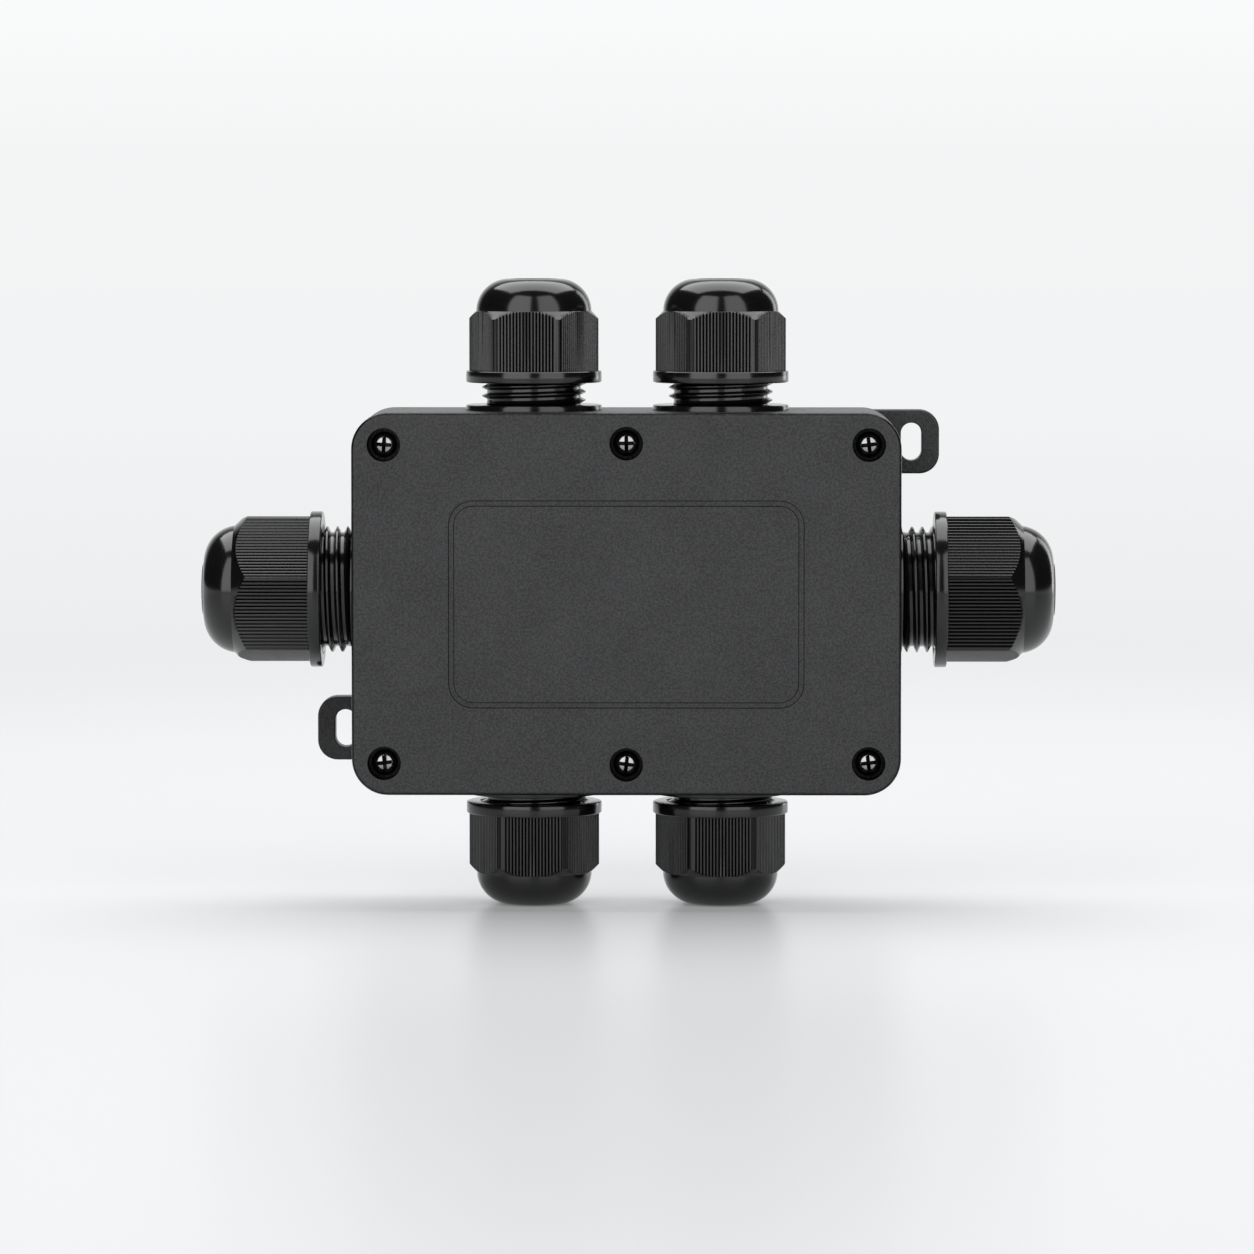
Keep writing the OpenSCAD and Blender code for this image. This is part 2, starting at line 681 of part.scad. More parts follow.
base();
lid();
lid_gasket();
screw_inserts();
lid_screw(1);  // lid_screw_1
lid_screw(2);  // lid_screw_2
lid_screw(3);  // lid_screw_3
lid_screw(4);  // lid_screw_4
lid_screw(5);  // lid_screw_5
lid_screw(6);  // lid_screw_6
terminal_block();
terminal_sleeves();
terminal_screws();
terminal_fixing_screws();
gland_body(TOP_LEFT);  // top_left_gland_body
gland_ring(TOP_LEFT);  // top_left_ring
small_locknut(TOP_LEFT);  // top_left_locknut
claw(TOP_LEFT);  // top_left_claw
cable_seal(TOP_LEFT);  // top_left_cable_seal
gland_nut(TOP_LEFT);  // top_left_nut
gland_body(TOP_RIGHT);  // top_right_gland_body
gland_ring(TOP_RIGHT);  // top_right_ring
small_locknut(TOP_RIGHT);  // top_right_locknut
claw(TOP_RIGHT);  // top_right_claw
cable_seal(TOP_RIGHT);  // top_right_cable_seal
gland_nut(TOP_RIGHT);  // top_right_nut
gland_body(BOTTOM_LEFT);  // bottom_left_gland_body
gland_ring(BOTTOM_LEFT);  // bottom_left_ring
small_locknut(BOTTOM_LEFT);  // bottom_left_locknut
claw(BOTTOM_LEFT);  // bottom_left_claw
cable_seal(BOTTOM_LEFT);  // bottom_left_cable_seal
gland_nut(BOTTOM_LEFT);  // bottom_left_nut
gland_body(BOTTOM_RIGHT);  // bottom_right_gland_body
gland_ring(BOTTOM_RIGHT);  // bottom_right_ring
small_locknut(BOTTOM_RIGHT);  // bottom_right_locknut
claw(BOTTOM_RIGHT);  // bottom_right_claw
cable_seal(BOTTOM_RIGHT);  // bottom_right_cable_seal
gland_nut(BOTTOM_RIGHT);  // bottom_right_nut
gland_body(LEFT);  // left_gland_body
gland_ring(LEFT);  // left_ring
large_locknut(LEFT);  // left_locknut
claw(LEFT);  // left_claw
cable_seal(LEFT);  // left_cable_seal
gland_nut(LEFT);  // left_nut
gland_body(RIGHT);  // right_gland_body
gland_ring(RIGHT);  // right_ring
large_locknut(RIGHT);  // right_locknut
claw(RIGHT);  // right_claw
cable_seal(RIGHT);  // right_cable_seal
gland_nut(RIGHT);  // right_nut
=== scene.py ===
"""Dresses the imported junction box: its moulded shell, ribbed gland nuts, threads, screws and studio."""

import json
import logging
import math
from collections.abc import Sequence
from dataclasses import dataclass
from enum import Enum

import bmesh
import bpy
from mathutils import Matrix, Vector


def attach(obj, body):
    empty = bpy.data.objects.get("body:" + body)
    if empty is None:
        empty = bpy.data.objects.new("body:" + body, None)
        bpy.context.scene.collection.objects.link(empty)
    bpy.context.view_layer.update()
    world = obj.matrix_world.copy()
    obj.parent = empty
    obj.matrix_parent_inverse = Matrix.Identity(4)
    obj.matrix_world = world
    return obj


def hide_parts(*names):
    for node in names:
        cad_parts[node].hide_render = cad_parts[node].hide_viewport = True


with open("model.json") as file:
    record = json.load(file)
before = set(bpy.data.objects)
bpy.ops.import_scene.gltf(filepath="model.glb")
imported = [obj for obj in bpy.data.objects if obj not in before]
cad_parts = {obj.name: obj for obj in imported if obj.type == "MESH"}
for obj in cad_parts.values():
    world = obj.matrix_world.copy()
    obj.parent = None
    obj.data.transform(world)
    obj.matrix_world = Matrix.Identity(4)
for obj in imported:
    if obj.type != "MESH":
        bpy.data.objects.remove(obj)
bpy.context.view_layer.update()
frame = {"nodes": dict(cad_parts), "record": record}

LOG = logging.getLogger("junction_box")
MM = 0.001
Point = tuple[float, float]
Corner = tuple[float, float, float]


class Slot(Enum):
    """The finishes that the record names."""

    BOX_PLASTIC = "box_plastic"
    GLAND_NYLON = "gland_nylon"
    SEAL_RUBBER = "seal_rubber"
    SCREW_STEEL = "screw_steel"
    BRASS = "brass"
    TERMINAL_PLASTIC = "terminal_plastic"
    CLAMP_STEEL = "clamp_steel"


class Carving(Enum):
    """What a tool solid does to the piece that it meets."""

    JOIN = "UNION"
    CUT = "DIFFERENCE"


class Wire:
    """A value inside a node tree, on which Python's operators work."""

    def __init__(self, bench: "NodeBench", socket: bpy.types.NodeSocket) -> None:
        """Keeps the tree's bench and the socket that carries the value."""
        self.bench = bench
        self.socket = socket

    def __add__(self, other: "Wire | float") -> "Wire":
        """Adds a value."""
        return self.bench.math("ADD", self, other)

    def __radd__(self, other: float) -> "Wire":
        """Adds to a plain number."""
        return self.bench.math("ADD", other, self)

    def __sub__(self, other: "Wire | float") -> "Wire":
        """Takes a value away."""
        return self.bench.math("SUBTRACT", self, other)

    def __rsub__(self, other: float) -> "Wire":
        """Takes this value away from a plain number."""
        return self.bench.math("SUBTRACT", other, self)

    def __mul__(self, other: "Wire | float") -> "Wire":
        """Multiplies by a value."""
        return self.bench.math("MULTIPLY", self, other)

    def __rmul__(self, other: float) -> "Wire":
        """Multiplies a plain number."""
        return self.bench.math("MULTIPLY", other, self)

    def __truediv__(self, other: "Wire | float") -> "Wire":
        """Divides by a value."""
        return self.bench.math("DIVIDE", self, other)


class NodeBench:
    """Puts nodes into one tree and links them."""

    def __init__(self, tree: bpy.types.NodeTree) -> None:
        """Keeps the tree that the nodes go into."""
        self.tree = tree

    def feed(self, socket: bpy.types.NodeSocket, value: object) -> None:
        """Gives a socket its value.

        Args:
            socket: The input socket.
            value: A wire, another node's socket or a plain value.
        """
        if isinstance(value, Wire):
            value = value.socket
        if isinstance(value, bpy.types.NodeSocket):
            self.tree.links.new(value, socket)
        else:
            socket.default_value = value

    def add(self, kind: str, inputs: dict[str | int, object] | None = None, **settings: object) -> bpy.types.Node:
        """Adds one node.

        Args:
            kind: The node's type name.
            inputs: What its input sockets get, by name or place.
            **settings: The node's own options.

        Returns:
            The new node.
        """
        node = self.tree.nodes.new(kind)
        for name, value in settings.items():
            setattr(node, name, value)
        for name, value in (inputs or {}).items():
            self.feed(node.inputs[name], value)
        return node

    def wire(self, node: bpy.types.Node, output: str | int = 0) -> Wire:
        """Gives one output of a node as a wire."""
        return Wire(self, node.outputs[output])

    def math(self, operation: str, *values: object) -> Wire:
        """Adds a Math node and gives its result."""
        return self.wire(self.add("ShaderNodeMath", dict(enumerate(values)), operation=operation))

    def blend(self, low: object, high: object, share: object) -> Wire:
        """Gives low where share is 0 and high where it is 1."""
        return self.wire(self.add("ShaderNodeMix", {0: share, 2: low, 3: high}, data_type="FLOAT"))


def new_group(name: str, kind: str, inputs: dict[str, tuple[str, object]], outputs: dict[str, str]) -> NodeBench:
    """Starts a node group with named sockets.

    Args:
        name: The group's name.
        kind: The tree's type name.
        inputs: For each input its socket type and starting value.
        outputs: For each output its socket type.

    Returns:
        The bench of the new tree.
    """
    tree = bpy.data.node_groups.new(name, kind)
    for label, (socket_type, value) in inputs.items():
        socket = tree.interface.new_socket(label, in_out="INPUT", socket_type=socket_type)
        if value is not None:
            socket.default_value = value
    for label, socket_type in outputs.items():
        tree.interface.new_socket(label, in_out="OUTPUT", socket_type=socket_type)
    return NodeBench(tree)


def settle(piece: bpy.types.Object) -> None:
    """Turns a piece and its modifiers into one plain mesh."""
    bpy.context.view_layer.update()
    graph = bpy.context.evaluated_depsgraph_get()
    mesh = bpy.data.meshes.new_from_object(piece.evaluated_get(graph))
    piece.modifiers.clear()
    piece.data = mesh
    mesh.name = piece.name


def new_piece(name: str, mesh: bpy.types.Mesh) -> bpy.types.Object:
    """Puts a mesh into the scene as a piece at the origin."""
    piece = bpy.data.objects.new(name, mesh)
    bpy.context.scene.collection.objects.link(piece)
    return piece


def run_tree(name: str, mesh: bpy.types.Mesh, tree: bpy.types.NodeTree, values: dict[str, object]) -> bpy.types.Object:
    """Makes a piece with a geometry tree and keeps only its plain mesh.

    Args:
        name: The piece's name.
        mesh: What the tree starts from.
        tree: The geometry tree.
        values: The tree's inputs by name.

    Returns:
        The finished piece, without its modifier.
    """
    piece = new_piece(name, mesh)
    modifier = piece.modifiers.new(tree.name, "NODES")
    modifier.node_group = tree
    for item in tree.interface.items_tree:
        if item.in_out == "INPUT" and item.name in values:
            modifier[item.identifier] = values[item.name]
    settle(piece)
    return piece


def smooth(piece: bpy.types.Object, sharp_deg: float, weighted: bool = False) -> None:
    """Shades a piece smooth, except across its sharp edges.

    Args:
        piece: The piece.
        sharp_deg: The angle between two faces from which their edge stays sharp.
        weighted: Whether large faces lead the shading, as on moulded plates.
    """
    mesh = piece.data
    mesh.polygons.foreach_set("use_smooth", [True] * len(mesh.polygons))
    mesh.set_sharp_from_angle(angle=math.radians(sharp_deg))
    if weighted:
        modifier = piece.modifiers.new("weighted", "WEIGHTED_NORMAL")
        modifier.keep_sharp = True
        settle(piece)


def carve(piece: bpy.types.Object, tool: bpy.types.Object, how: Carving) -> None:
    """Joins a tool solid to a piece or cuts it out of it, and takes the tool away."""
    modifier = piece.modifiers.new("carve", "BOOLEAN")
    modifier.operation = how.value
    modifier.solver = "EXACT"
    modifier.object = tool
    settle(piece)
    bpy.data.objects.remove(tool)


def rounded_path(corners: Sequence[Corner], steps: int) -> list[Point]:
    """Rounds the corners of a closed path.

    Args:
        corners: Each corner's place and radius.
        steps: The pieces of each round.

    Returns:
        The points of the path, the same number for each round corner.
    """
    points: list[Point] = []
    for index, (x, z, radius) in enumerate(corners):
        here = Vector((x, z))
        before = (Vector(corners[index - 1][:2]) - here).normalized()
        after = (Vector(corners[(index + 1) % len(corners)][:2]) - here).normalized()
        if radius <= 0:
            points.append((x, z))
            continue
        half = before.angle(after) / 2
        start = before * (radius / math.tan(half))
        centre = (before + after).normalized() * (radius / math.sin(half))
        first = math.atan2(*(start - centre).yx)
        last = math.atan2(*(after * (radius / math.tan(half)) - centre).yx)
        sweep = (last - first + math.pi) % (2 * math.pi) - math.pi
        for step in range(steps + 1):
            angle = first + sweep * step / steps
            points.append((x + centre.x + radius * math.cos(angle), z + centre.y + radius * math.sin(angle)))
    return points


def rounded_rect(width: float, height: float, radius: float, steps: int = 12, centre: Point = (0, 0)) -> list[Point]:
    """Gives the outline of a rectangle with round corners."""
    cx, cz = centre
    return rounded_path([(cx + sx * width / 2, cz + sz * height / 2, radius)
                         for sx, sz in ((1, -1), (1, 1), (-1, 1), (-1, -1))], steps)


def circle(radius: float, steps: int, centre: Point = (0, 0)) -> list[Point]:
    """Gives the outline of a circle."""
    return [(centre[0] + radius * math.cos(math.tau * step / steps),
             centre[1] + radius * math.sin(math.tau * step / steps)) for step in range(steps)]


def loft(name: str, layers: Sequence[tuple[float, list[Point]]]) -> bpy.types.Object:
    """Makes a closed solid through outlines that lie at given depths.

    Args:
        name: The piece's name.
        layers: Each outline's distance in front of the wall plane and its points, all in millimetres.

    Returns:
        The solid, with a flat face on the first and the last outline.
    """
    mesh = bpy.data.meshes.new(name)
    solid = bmesh.new()
    rings = [[solid.verts.new((x * MM, -depth * MM, z * MM)) for x, z in outline] for depth, outline in layers]
    for low, high in zip(rings, rings[1:]):
        for index, vertex in enumerate(low):
            after = (index + 1) % len(low)
            solid.faces.new((vertex, low[after], high[after], high[index]))
    solid.faces.new(rings[0])
    solid.faces.new(rings[-1])
    bmesh.ops.remove_doubles(solid, verts=solid.verts, dist=1e-7)
    bmesh.ops.recalc_face_normals(solid, faces=solid.faces)
    solid.to_mesh(mesh)
    solid.free()
    return new_piece(name, mesh)


def arc_steps(radius: float, steps: int) -> list[Point]:
    """Gives the way round a quarter circle as pairs of inset and rise, from the side to the top."""
    return [(radius * (1 - math.cos(math.pi / 2 * step / steps)), radius * math.sin(math.pi / 2 * step / steps))
            for step in range(steps + 1)]


# A face's painted shade runs from 0, none, to 1, black and smooth, standing in for the shade deep inside a recess.
SHADE_PAINT = "polish"
SHADE_PAINT_COLOUR = (0.005, 0.005, 0.0055)
SHADE_PAINT_GLOSS = 0.32
SHADE_PAINT_DIM = 0.8
LEAST_ROUGHNESS = 0.1
BUMP_DEPTH = 0.0001


@dataclass(frozen=True)
class Grain:
    """The fine unevenness that every moulded or cast surface shows, as one shared shader group."""

    name: str = "Surface grain"

    def build(self) -> bpy.types.NodeTree:
        """Builds the group, with a fine height, a soft mottling and a rub mask as outputs."""
        bench = new_group(self.name, "ShaderNodeTree",
                          {"Scale": ("NodeSocketFloat", 3000.0), "Mottling": ("NodeSocketFloat", 120.0)},
                          {"Height": "NodeSocketFloat", "Mottle": "NodeSocketFloat", "Rub": "NodeSocketFloat"})
        given = bench.add("NodeGroupInput")
        place = bench.add("ShaderNodeTexCoord").outputs["Object"]
        fine = bench.add("ShaderNodeTexNoise", {"Vector": place, "Scale": given.outputs[0], "Detail": 3.0,
                                                "Roughness": 0.55})
        soft = bench.add("ShaderNodeTexNoise", {"Vector": place, "Scale": given.outputs[1], "Detail": 2.0,
                                                "Roughness": 0.5})
        cells = bench.add("ShaderNodeTexVoronoi", {"Vector": place, "Scale": bench.wire(given) * 0.7})
        rub = bench.add("ShaderNodeMapRange", {"Value": soft.outputs[0], 1: 0.55, 2: 0.75, 3: 0.0, 4: 1.0})
        out = bench.add("NodeGroupOutput")
        bench.feed(out.inputs[0], bench.wire(fine) * 0.7 + bench.wire(cells) * 0.3)
        speckle = bench.add("ShaderNodeMapRange", {"Value": fine.outputs[0], 1: 0.36, 2: 0.64})
        bench.feed(out.inputs[1], bench.blend(soft.outputs[0], speckle.outputs[0], 0.6))
        bench.feed(out.inputs[2], rub.outputs[0])
        return bench.tree


@dataclass(frozen=True)
class Finish:
    """A plain finish: its colour, how far the colour wanders, its gloss and its grain.

    Every finish takes painted shade where a face carries the shade mark: a near-black colour and lower roughness. A
    dimmed finish also loses most of its reflections there.
    """

    name: str
    slot: Slot
    dark: tuple[float, float, float]
    light: tuple[float, float, float]
    roughness: float
    roughness_span: float
    grain_per_m: float
    mottling_per_m: float
    bump: float
    metallic: float = 0.0
    specular: float = 0.5
    dimmed: bool = False

    def build(self, grain: bpy.types.NodeTree) -> bpy.types.Material:
        """Builds the material.

        Args:
            grain: The shared grain group.

        Returns:
            The material.
        """
        material = bpy.data.materials.new(self.name)
        material.use_nodes = True
        bench = NodeBench(material.node_tree)
        shader = material.node_tree.nodes["Principled BSDF"]
        group = bench.add("ShaderNodeGroup", node_tree=grain)
        group.inputs["Scale"].default_value = self.grain_per_m
        group.inputs["Mottling"].default_value = self.mottling_per_m
        colour = bench.add("ShaderNodeMix", {0: group.outputs["Mottle"], 6: (*self.dark, 1), 7: (*self.light, 1)},
                           data_type="RGBA")
        # Painted shade: where the mark is set, the colour goes near-black and the roughness drops.
        polish = bench.wire(bench.add("ShaderNodeAttribute", attribute_name=SHADE_PAINT), "Fac")
        shade_painted = bench.add("ShaderNodeMix", {0: polish, 6: colour.outputs[2], 7: (*SHADE_PAINT_COLOUR, 1)}, data_type="RGBA")
        bench.feed(shader.inputs["Base Color"], shade_painted.outputs[2])
        rough = bench.wire(group, "Rub") * self.roughness_span + self.roughness - polish * SHADE_PAINT_GLOSS
        bench.feed(shader.inputs["Roughness"], bench.math("MAXIMUM", rough, LEAST_ROUGHNESS))
        bump = bench.add("ShaderNodeBump", {"Height": group.outputs["Height"], "Strength": self.bump,
                                            "Distance": BUMP_DEPTH})
        bench.feed(shader.inputs["Normal"], bump.outputs[0])
        shader.inputs["Specular IOR Level"].default_value = self.specular
        shader.inputs["Metallic"].default_value = self.metallic
        # Painted shade on dimmed finishes: dark metal that takes away most reflections where the mark is set.
        if self.dimmed:
            bench.feed(shader.inputs["Metallic"], polish * SHADE_PAINT_DIM)
        return material


FINISHES = (
    Finish("Box plastic", Slot.BOX_PLASTIC, (0.016, 0.0164, 0.0172), (0.056, 0.0566, 0.0582), 0.46, 0.06,
           2100.0, 90.0, 0.9, specular=0.25, dimmed=True),
    Finish("Gland nylon", Slot.GLAND_NYLON, (0.0026, 0.0027, 0.0029), (0.0046, 0.0047, 0.0051), 0.15, 0.01,
           1400.0, 160.0, 0.01, specular=0.5, dimmed=True),
    Finish("Seal rubber", Slot.SEAL_RUBBER, (0.015, 0.015, 0.016), (0.024, 0.024, 0.025), 0.50, 0.12,
           2600.0, 300.0, 0.25),
    Finish("Black screw steel", Slot.SCREW_STEEL, (0.24, 0.242, 0.248), (0.32, 0.322, 0.33), 0.13, 0.06,
           2400.0, 500.0, 0.05, metallic=1.0),
    Finish("Turned brass", Slot.BRASS, (0.56, 0.39, 0.14), (0.70, 0.51, 0.21), 0.24, 0.12,
           1800.0, 400.0, 0.12, metallic=1.0),
    Finish("Terminal plastic", Slot.TERMINAL_PLASTIC, (0.68, 0.65, 0.55), (0.75, 0.72, 0.63), 0.36, 0.10,
           2200.0, 150.0, 0.12),
    Finish("Zinc steel", Slot.CLAMP_STEEL, (0.46, 0.47, 0.49), (0.62, 0.63, 0.66), 0.28, 0.14,
           2000.0, 350.0, 0.12, metallic=1.0),
)


class Workshop:
    """Holds the finishes and puts each finished piece on its body."""

    def __init__(self) -> None:
        """Builds every finish once."""
        grain = Grain().build()
        self.materials = {finish.slot: finish.build(grain) for finish in FINISHES}

    def dress(self, piece: bpy.types.Object, slot: Slot) -> None:
        """Gives a piece its one finish."""
        piece.data.materials.clear()
        piece.data.materials.append(self.materials[slot])

    def hand_over(self, piece: bpy.types.Object, body: str, slot: Slot, *nodes: str) -> None:
        """Puts a finished piece on its body and hides the solids that it stands for.

        Args:
            piece: The piece, at the origin.
            body: The body that it rides on.
            slot: Not used.
            *nodes: The solids that it stands for.
        """
        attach(piece, body)
        if nodes:
            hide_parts(*nodes)
        LOG.info("%s: %d faces on %s", piece.name, len(piece.data.polygons), body)


@dataclass(frozen=True)
class Row:
    """One ring of a turned piece, in millimetres.

    A ribbed ring takes its radius from the ribbed hexagon. A chamfer ring lies on the turned chamfer, from its
    lower edge at slide 0 to its foot at slide 1. A helix ring climbs one pitch a turn between low and high.
    """

    radius: float
    height: float
    ribbed: float = 0.0
    chamfer: float = 0.0
    slide: float = 0.0
    helix: float = 0.0
    low: float = 0.0
    high: float = 0.0
    root: float = 0.0


ROW_FIELDS = ("ribbed", "chamfer", "slide", "helix", "low", "high", "root")
RIB_STOPS = ((0.0, 1.0), (0.22, 0.30), (0.37, 0.04), (0.63, 0.04), (0.78, 0.30))
CORNER_COLUMNS = 4
ROUNDING = 0.01
WELD_MM = 0.002
LEAST_FLAT = 0.12


class TurnedTree:
    """The geometry tree that turns a row of rings into a round, threaded or ribbed piece."""

    def __init__(self, ribbed: bool) -> None:
        """Builds the tree.

        Args:
            ribbed: Whether the piece has six ribbed faces, as the nuts have.
        """
        sizes = {"Profile": ("NodeSocketGeometry", None), "Pitch": ("NodeSocketFloat", 1.0),
                 "Finish": ("NodeSocketMaterial", None)}
        if ribbed:
            sizes |= {"Ribs per face": ("NodeSocketInt", 18), "Rib depth": ("NodeSocketFloat", 0.2),
                      "Flats radius": ("NodeSocketFloat", 12.0), "Corner radius": ("NodeSocketFloat", 14.0),
                      "Turn": ("NodeSocketFloat", 0.0), "Chamfer foot": ("NodeSocketFloat", 12.0),
                      "Chamfer top": ("NodeSocketFloat", 15.0), "Chamfer rise": ("NodeSocketFloat", 1.0)}
        else:
            sizes |= {"Columns": ("NodeSocketInt", 96)}
        self.bench = new_group("Ribbed nut" if ribbed else "Turned piece", "GeometryNodeTree", sizes,
                               {"Piece": "NodeSocketGeometry"})
        self.given = self.bench.add("NodeGroupInput")
        self.tree = self.bench.tree
        self.lay_out(ribbed)

    def size(self, name: str) -> Wire:
        """Gives one of the tree's named inputs."""
        return self.bench.wire(self.given, name)

    def lay_out(self, ribbed: bool) -> None:
        """Lays the grid of rings and columns and bends it into the piece."""
        bench = self.bench
        profile = self.given.outputs["Profile"]
        count = bench.wire(bench.add("GeometryNodeAttributeDomainSize", {0: profile}))
        per_face = columns = None
        if ribbed:
            per_face = self.size("Ribs per face") * float(len(RIB_STOPS)) + float(CORNER_COLUMNS)
            columns = per_face * 6.0
        else:
            columns = self.size("Columns")
        grid = bench.add("GeometryNodeMeshGrid", {"Size X": columns, "Size Y": count - 1.0,
                                                  "Vertices X": columns + 1.0, "Vertices Y": count})
        place = bench.add("ShaderNodeSeparateXYZ", {0: bench.add("GeometryNodeInputPosition").outputs[0]})
        column = bench.math("ROUND", bench.wire(place, 0) + columns / 2.0)
        row = bench.math("ROUND", bench.wire(place, 1) + (count - 1.0) / 2.0)
        if ribbed:
            angle, hexagon = self.ribbed_section(column, per_face)
        else:
            angle, hexagon = column * math.tau / columns, 0.0
        radius, height = self.ring(profile, row, angle, hexagon, ribbed)
        spot = bench.add("ShaderNodeCombineXYZ", {0: radius * bench.math("COSINE", angle),
                                                  1: radius * bench.math("SINE", angle), 2: height})
        bent = bench.add("GeometryNodeSetPosition", {"Geometry": grid.outputs[0], "Position": spot.outputs[0]})
        merged = bench.add("GeometryNodeMergeByDistance", {"Geometry": bent.outputs[0], "Distance": WELD_MM})
        real = bench.add("GeometryNodeRealizeInstances", {0: merged.outputs[0]})
        done = bench.add("GeometryNodeSetMaterial", {"Geometry": real.outputs[0],
                                                     "Material": self.given.outputs["Finish"]})
        bench.feed(bench.add("NodeGroupOutput").inputs[0], done.outputs[0])

    def lookup(self, index: Wire, values: Sequence[float]) -> Wire:
        """Picks one of a few numbers by its place."""
        node = self.bench.add("GeometryNodeIndexSwitch", data_type="FLOAT")
        while len(node.index_switch_items) < len(values):
            node.index_switch_items.new()
        self.bench.feed(node.inputs[0], index)
        for place, value in enumerate(values):
            node.inputs[place + 1].default_value = value
        return self.bench.wire(node)

    def ribbed_section(self, column: Wire, per_face: Wire) -> tuple[Wire, Wire]:
        """Gives each column's angle and the radius of the ribbed hexagon there.

        Args:
            column: The column's number.
            per_face: The columns of one face, with its corner.

        Returns:
            The angle and the radius.
        """
        bench = self.bench
        ribs = self.size("Ribs per face")
        flats = self.size("Flats radius")
        corner = self.size("Corner radius")
        face = bench.math("FLOOR", (column + ROUNDING) / per_face)
        within = column - face * per_face
        rib = bench.math("FLOOR", (within + ROUNDING) / float(len(RIB_STOPS)))
        stop = bench.math("ROUND", within - rib * float(len(RIB_STOPS)))
        share = self.lookup(stop, [part for part, _ in RIB_STOPS])
        groove = self.lookup(stop, [depth for _, depth in RIB_STOPS])
        widest = bench.math("ARCCOSINE", flats / corner)
        reach = flats * bench.math("TANGENT", widest)
        side = reach * ((rib + share) * 2.0 / ribs - 1.0)
        lean = bench.math("ARCTANGENT", side / flats)
        flat_radius = flats / bench.math("COSINE", lean) - groove * self.size("Rib depth")
        past = within - ribs * float(len(RIB_STOPS))
        on_corner = bench.math("GREATER_THAN", past, -0.5)
        corner_lean = widest + past * (math.pi / 3 - widest * 2.0) / float(CORNER_COLUMNS)
        angle = bench.blend(lean, corner_lean, on_corner) + face * (math.pi / 3) + self.size("Turn") + math.pi / 6
        return angle, bench.blend(flat_radius, corner, on_corner)

    def ring(self, profile: bpy.types.NodeSocket, row: Wire, angle: Wire, hexagon: Wire | float,
             ribbed: bool) -> tuple[Wire, Wire]:
        """Gives the radius and height of every point.

        Args:
            profile: The rings.
            row: The ring's number.
            angle: The point's angle.
            hexagon: The radius of the ribbed hexagon at that angle.
            ribbed: Whether the piece has ribbed faces.

        Returns:
            The radius and the height.
        """
        bench = self.bench
        where = bench.add("GeometryNodeSampleIndex", data_type="FLOAT_VECTOR")
        bench.feed(where.inputs[0], profile)
        bench.feed(where.inputs["Value"], bench.add("GeometryNodeInputPosition").outputs[0])
        bench.feed(where.inputs["Index"], row)
        parts = bench.add("ShaderNodeSeparateXYZ", {0: where.outputs[0]})
        marks: dict[str, Wire] = {}
        for name in ROW_FIELDS:
            mark = bench.add("GeometryNodeInputNamedAttribute", {"Name": name}, data_type="FLOAT")
            taken = bench.add("GeometryNodeSampleIndex", data_type="FLOAT")
            bench.feed(taken.inputs[0], profile)
            bench.feed(taken.inputs["Value"], mark.outputs["Attribute"])
            bench.feed(taken.inputs["Index"], row)
            marks[name] = bench.wire(taken)
        radius, height = bench.wire(parts, 0), bench.wire(parts, 2)
        climbed = height + self.size("Pitch") * angle / math.tau
        held = bench.math("MINIMUM", bench.math("MAXIMUM", climbed, marks["low"]), marks["high"])
        near = bench.math("MINIMUM", held - marks["low"], marks["high"] - held) / self.size("Pitch") * 2.0
        full = bench.math("MINIMUM", bench.math("MAXIMUM", near, 0.0), 1.0)
        threaded = bench.blend(marks["root"], radius, full)
        radius = bench.blend(radius, threaded, marks["helix"])
        height = bench.blend(height, held, marks["helix"])
        if ribbed:
            top, foot, rise = self.size("Chamfer top"), self.size("Chamfer foot"), self.size("Chamfer rise")
            edge = bench.math("MINIMUM", top - (hexagon - foot) * rise, top - LEAST_FLAT)
            lift = bench.blend(edge, top, marks["slide"])
            height = bench.blend(height, lift, marks["chamfer"])
            radius = bench.blend(radius, foot + (top - lift) / rise, marks["chamfer"])
            radius = bench.blend(radius, hexagon, marks["ribbed"])
        return radius, height


def profile_mesh(name: str, rows: Sequence[Row]) -> bpy.types.Mesh:
    """Writes rings as the points of a mesh, with each ring's marks as attributes."""
    mesh = bpy.data.meshes.new(name)
    mesh.from_pydata([(row.radius, 0, row.height) for row in rows],
                     [(index, index + 1) for index in range(len(rows) - 1)], [])
    for mark in ROW_FIELDS:
        mesh.attributes.new(mark, "FLOAT", "POINT").data.foreach_set("value", [getattr(row, mark) for row in rows])
    return mesh


def thread_rows(crest: float, root: float, low: float, high: float, pitch: float, inner: bool = False) -> list[Row]:
    """Gives the rings of a right-handed thread.

    Args:
        crest: The radius of the thread's crests.
        root: The radius of its grooves, and of its run-out.
        low: The lower end of the thread.
        high: Its upper end.
        pitch: The climb of one turn.
        inner: Whether it is a thread in a bore, whose rings run downwards.

    Returns:
        The rings, upwards for an outer thread.
    """
    stops = ((0.0, root), (0.14, root), (0.42, crest), (0.50, crest + (crest - root) * 0.03), (0.58, crest),
             (0.86, root))
    first = math.floor(low / pitch) - 3
    last = math.ceil(high / pitch) + 1
    rows = [Row(radius, (turn + share) * pitch, helix=1.0, low=low, high=high, root=root)
            for turn in range(first, last) for share, radius in stops]
    return rows[::-1] if inner else rows


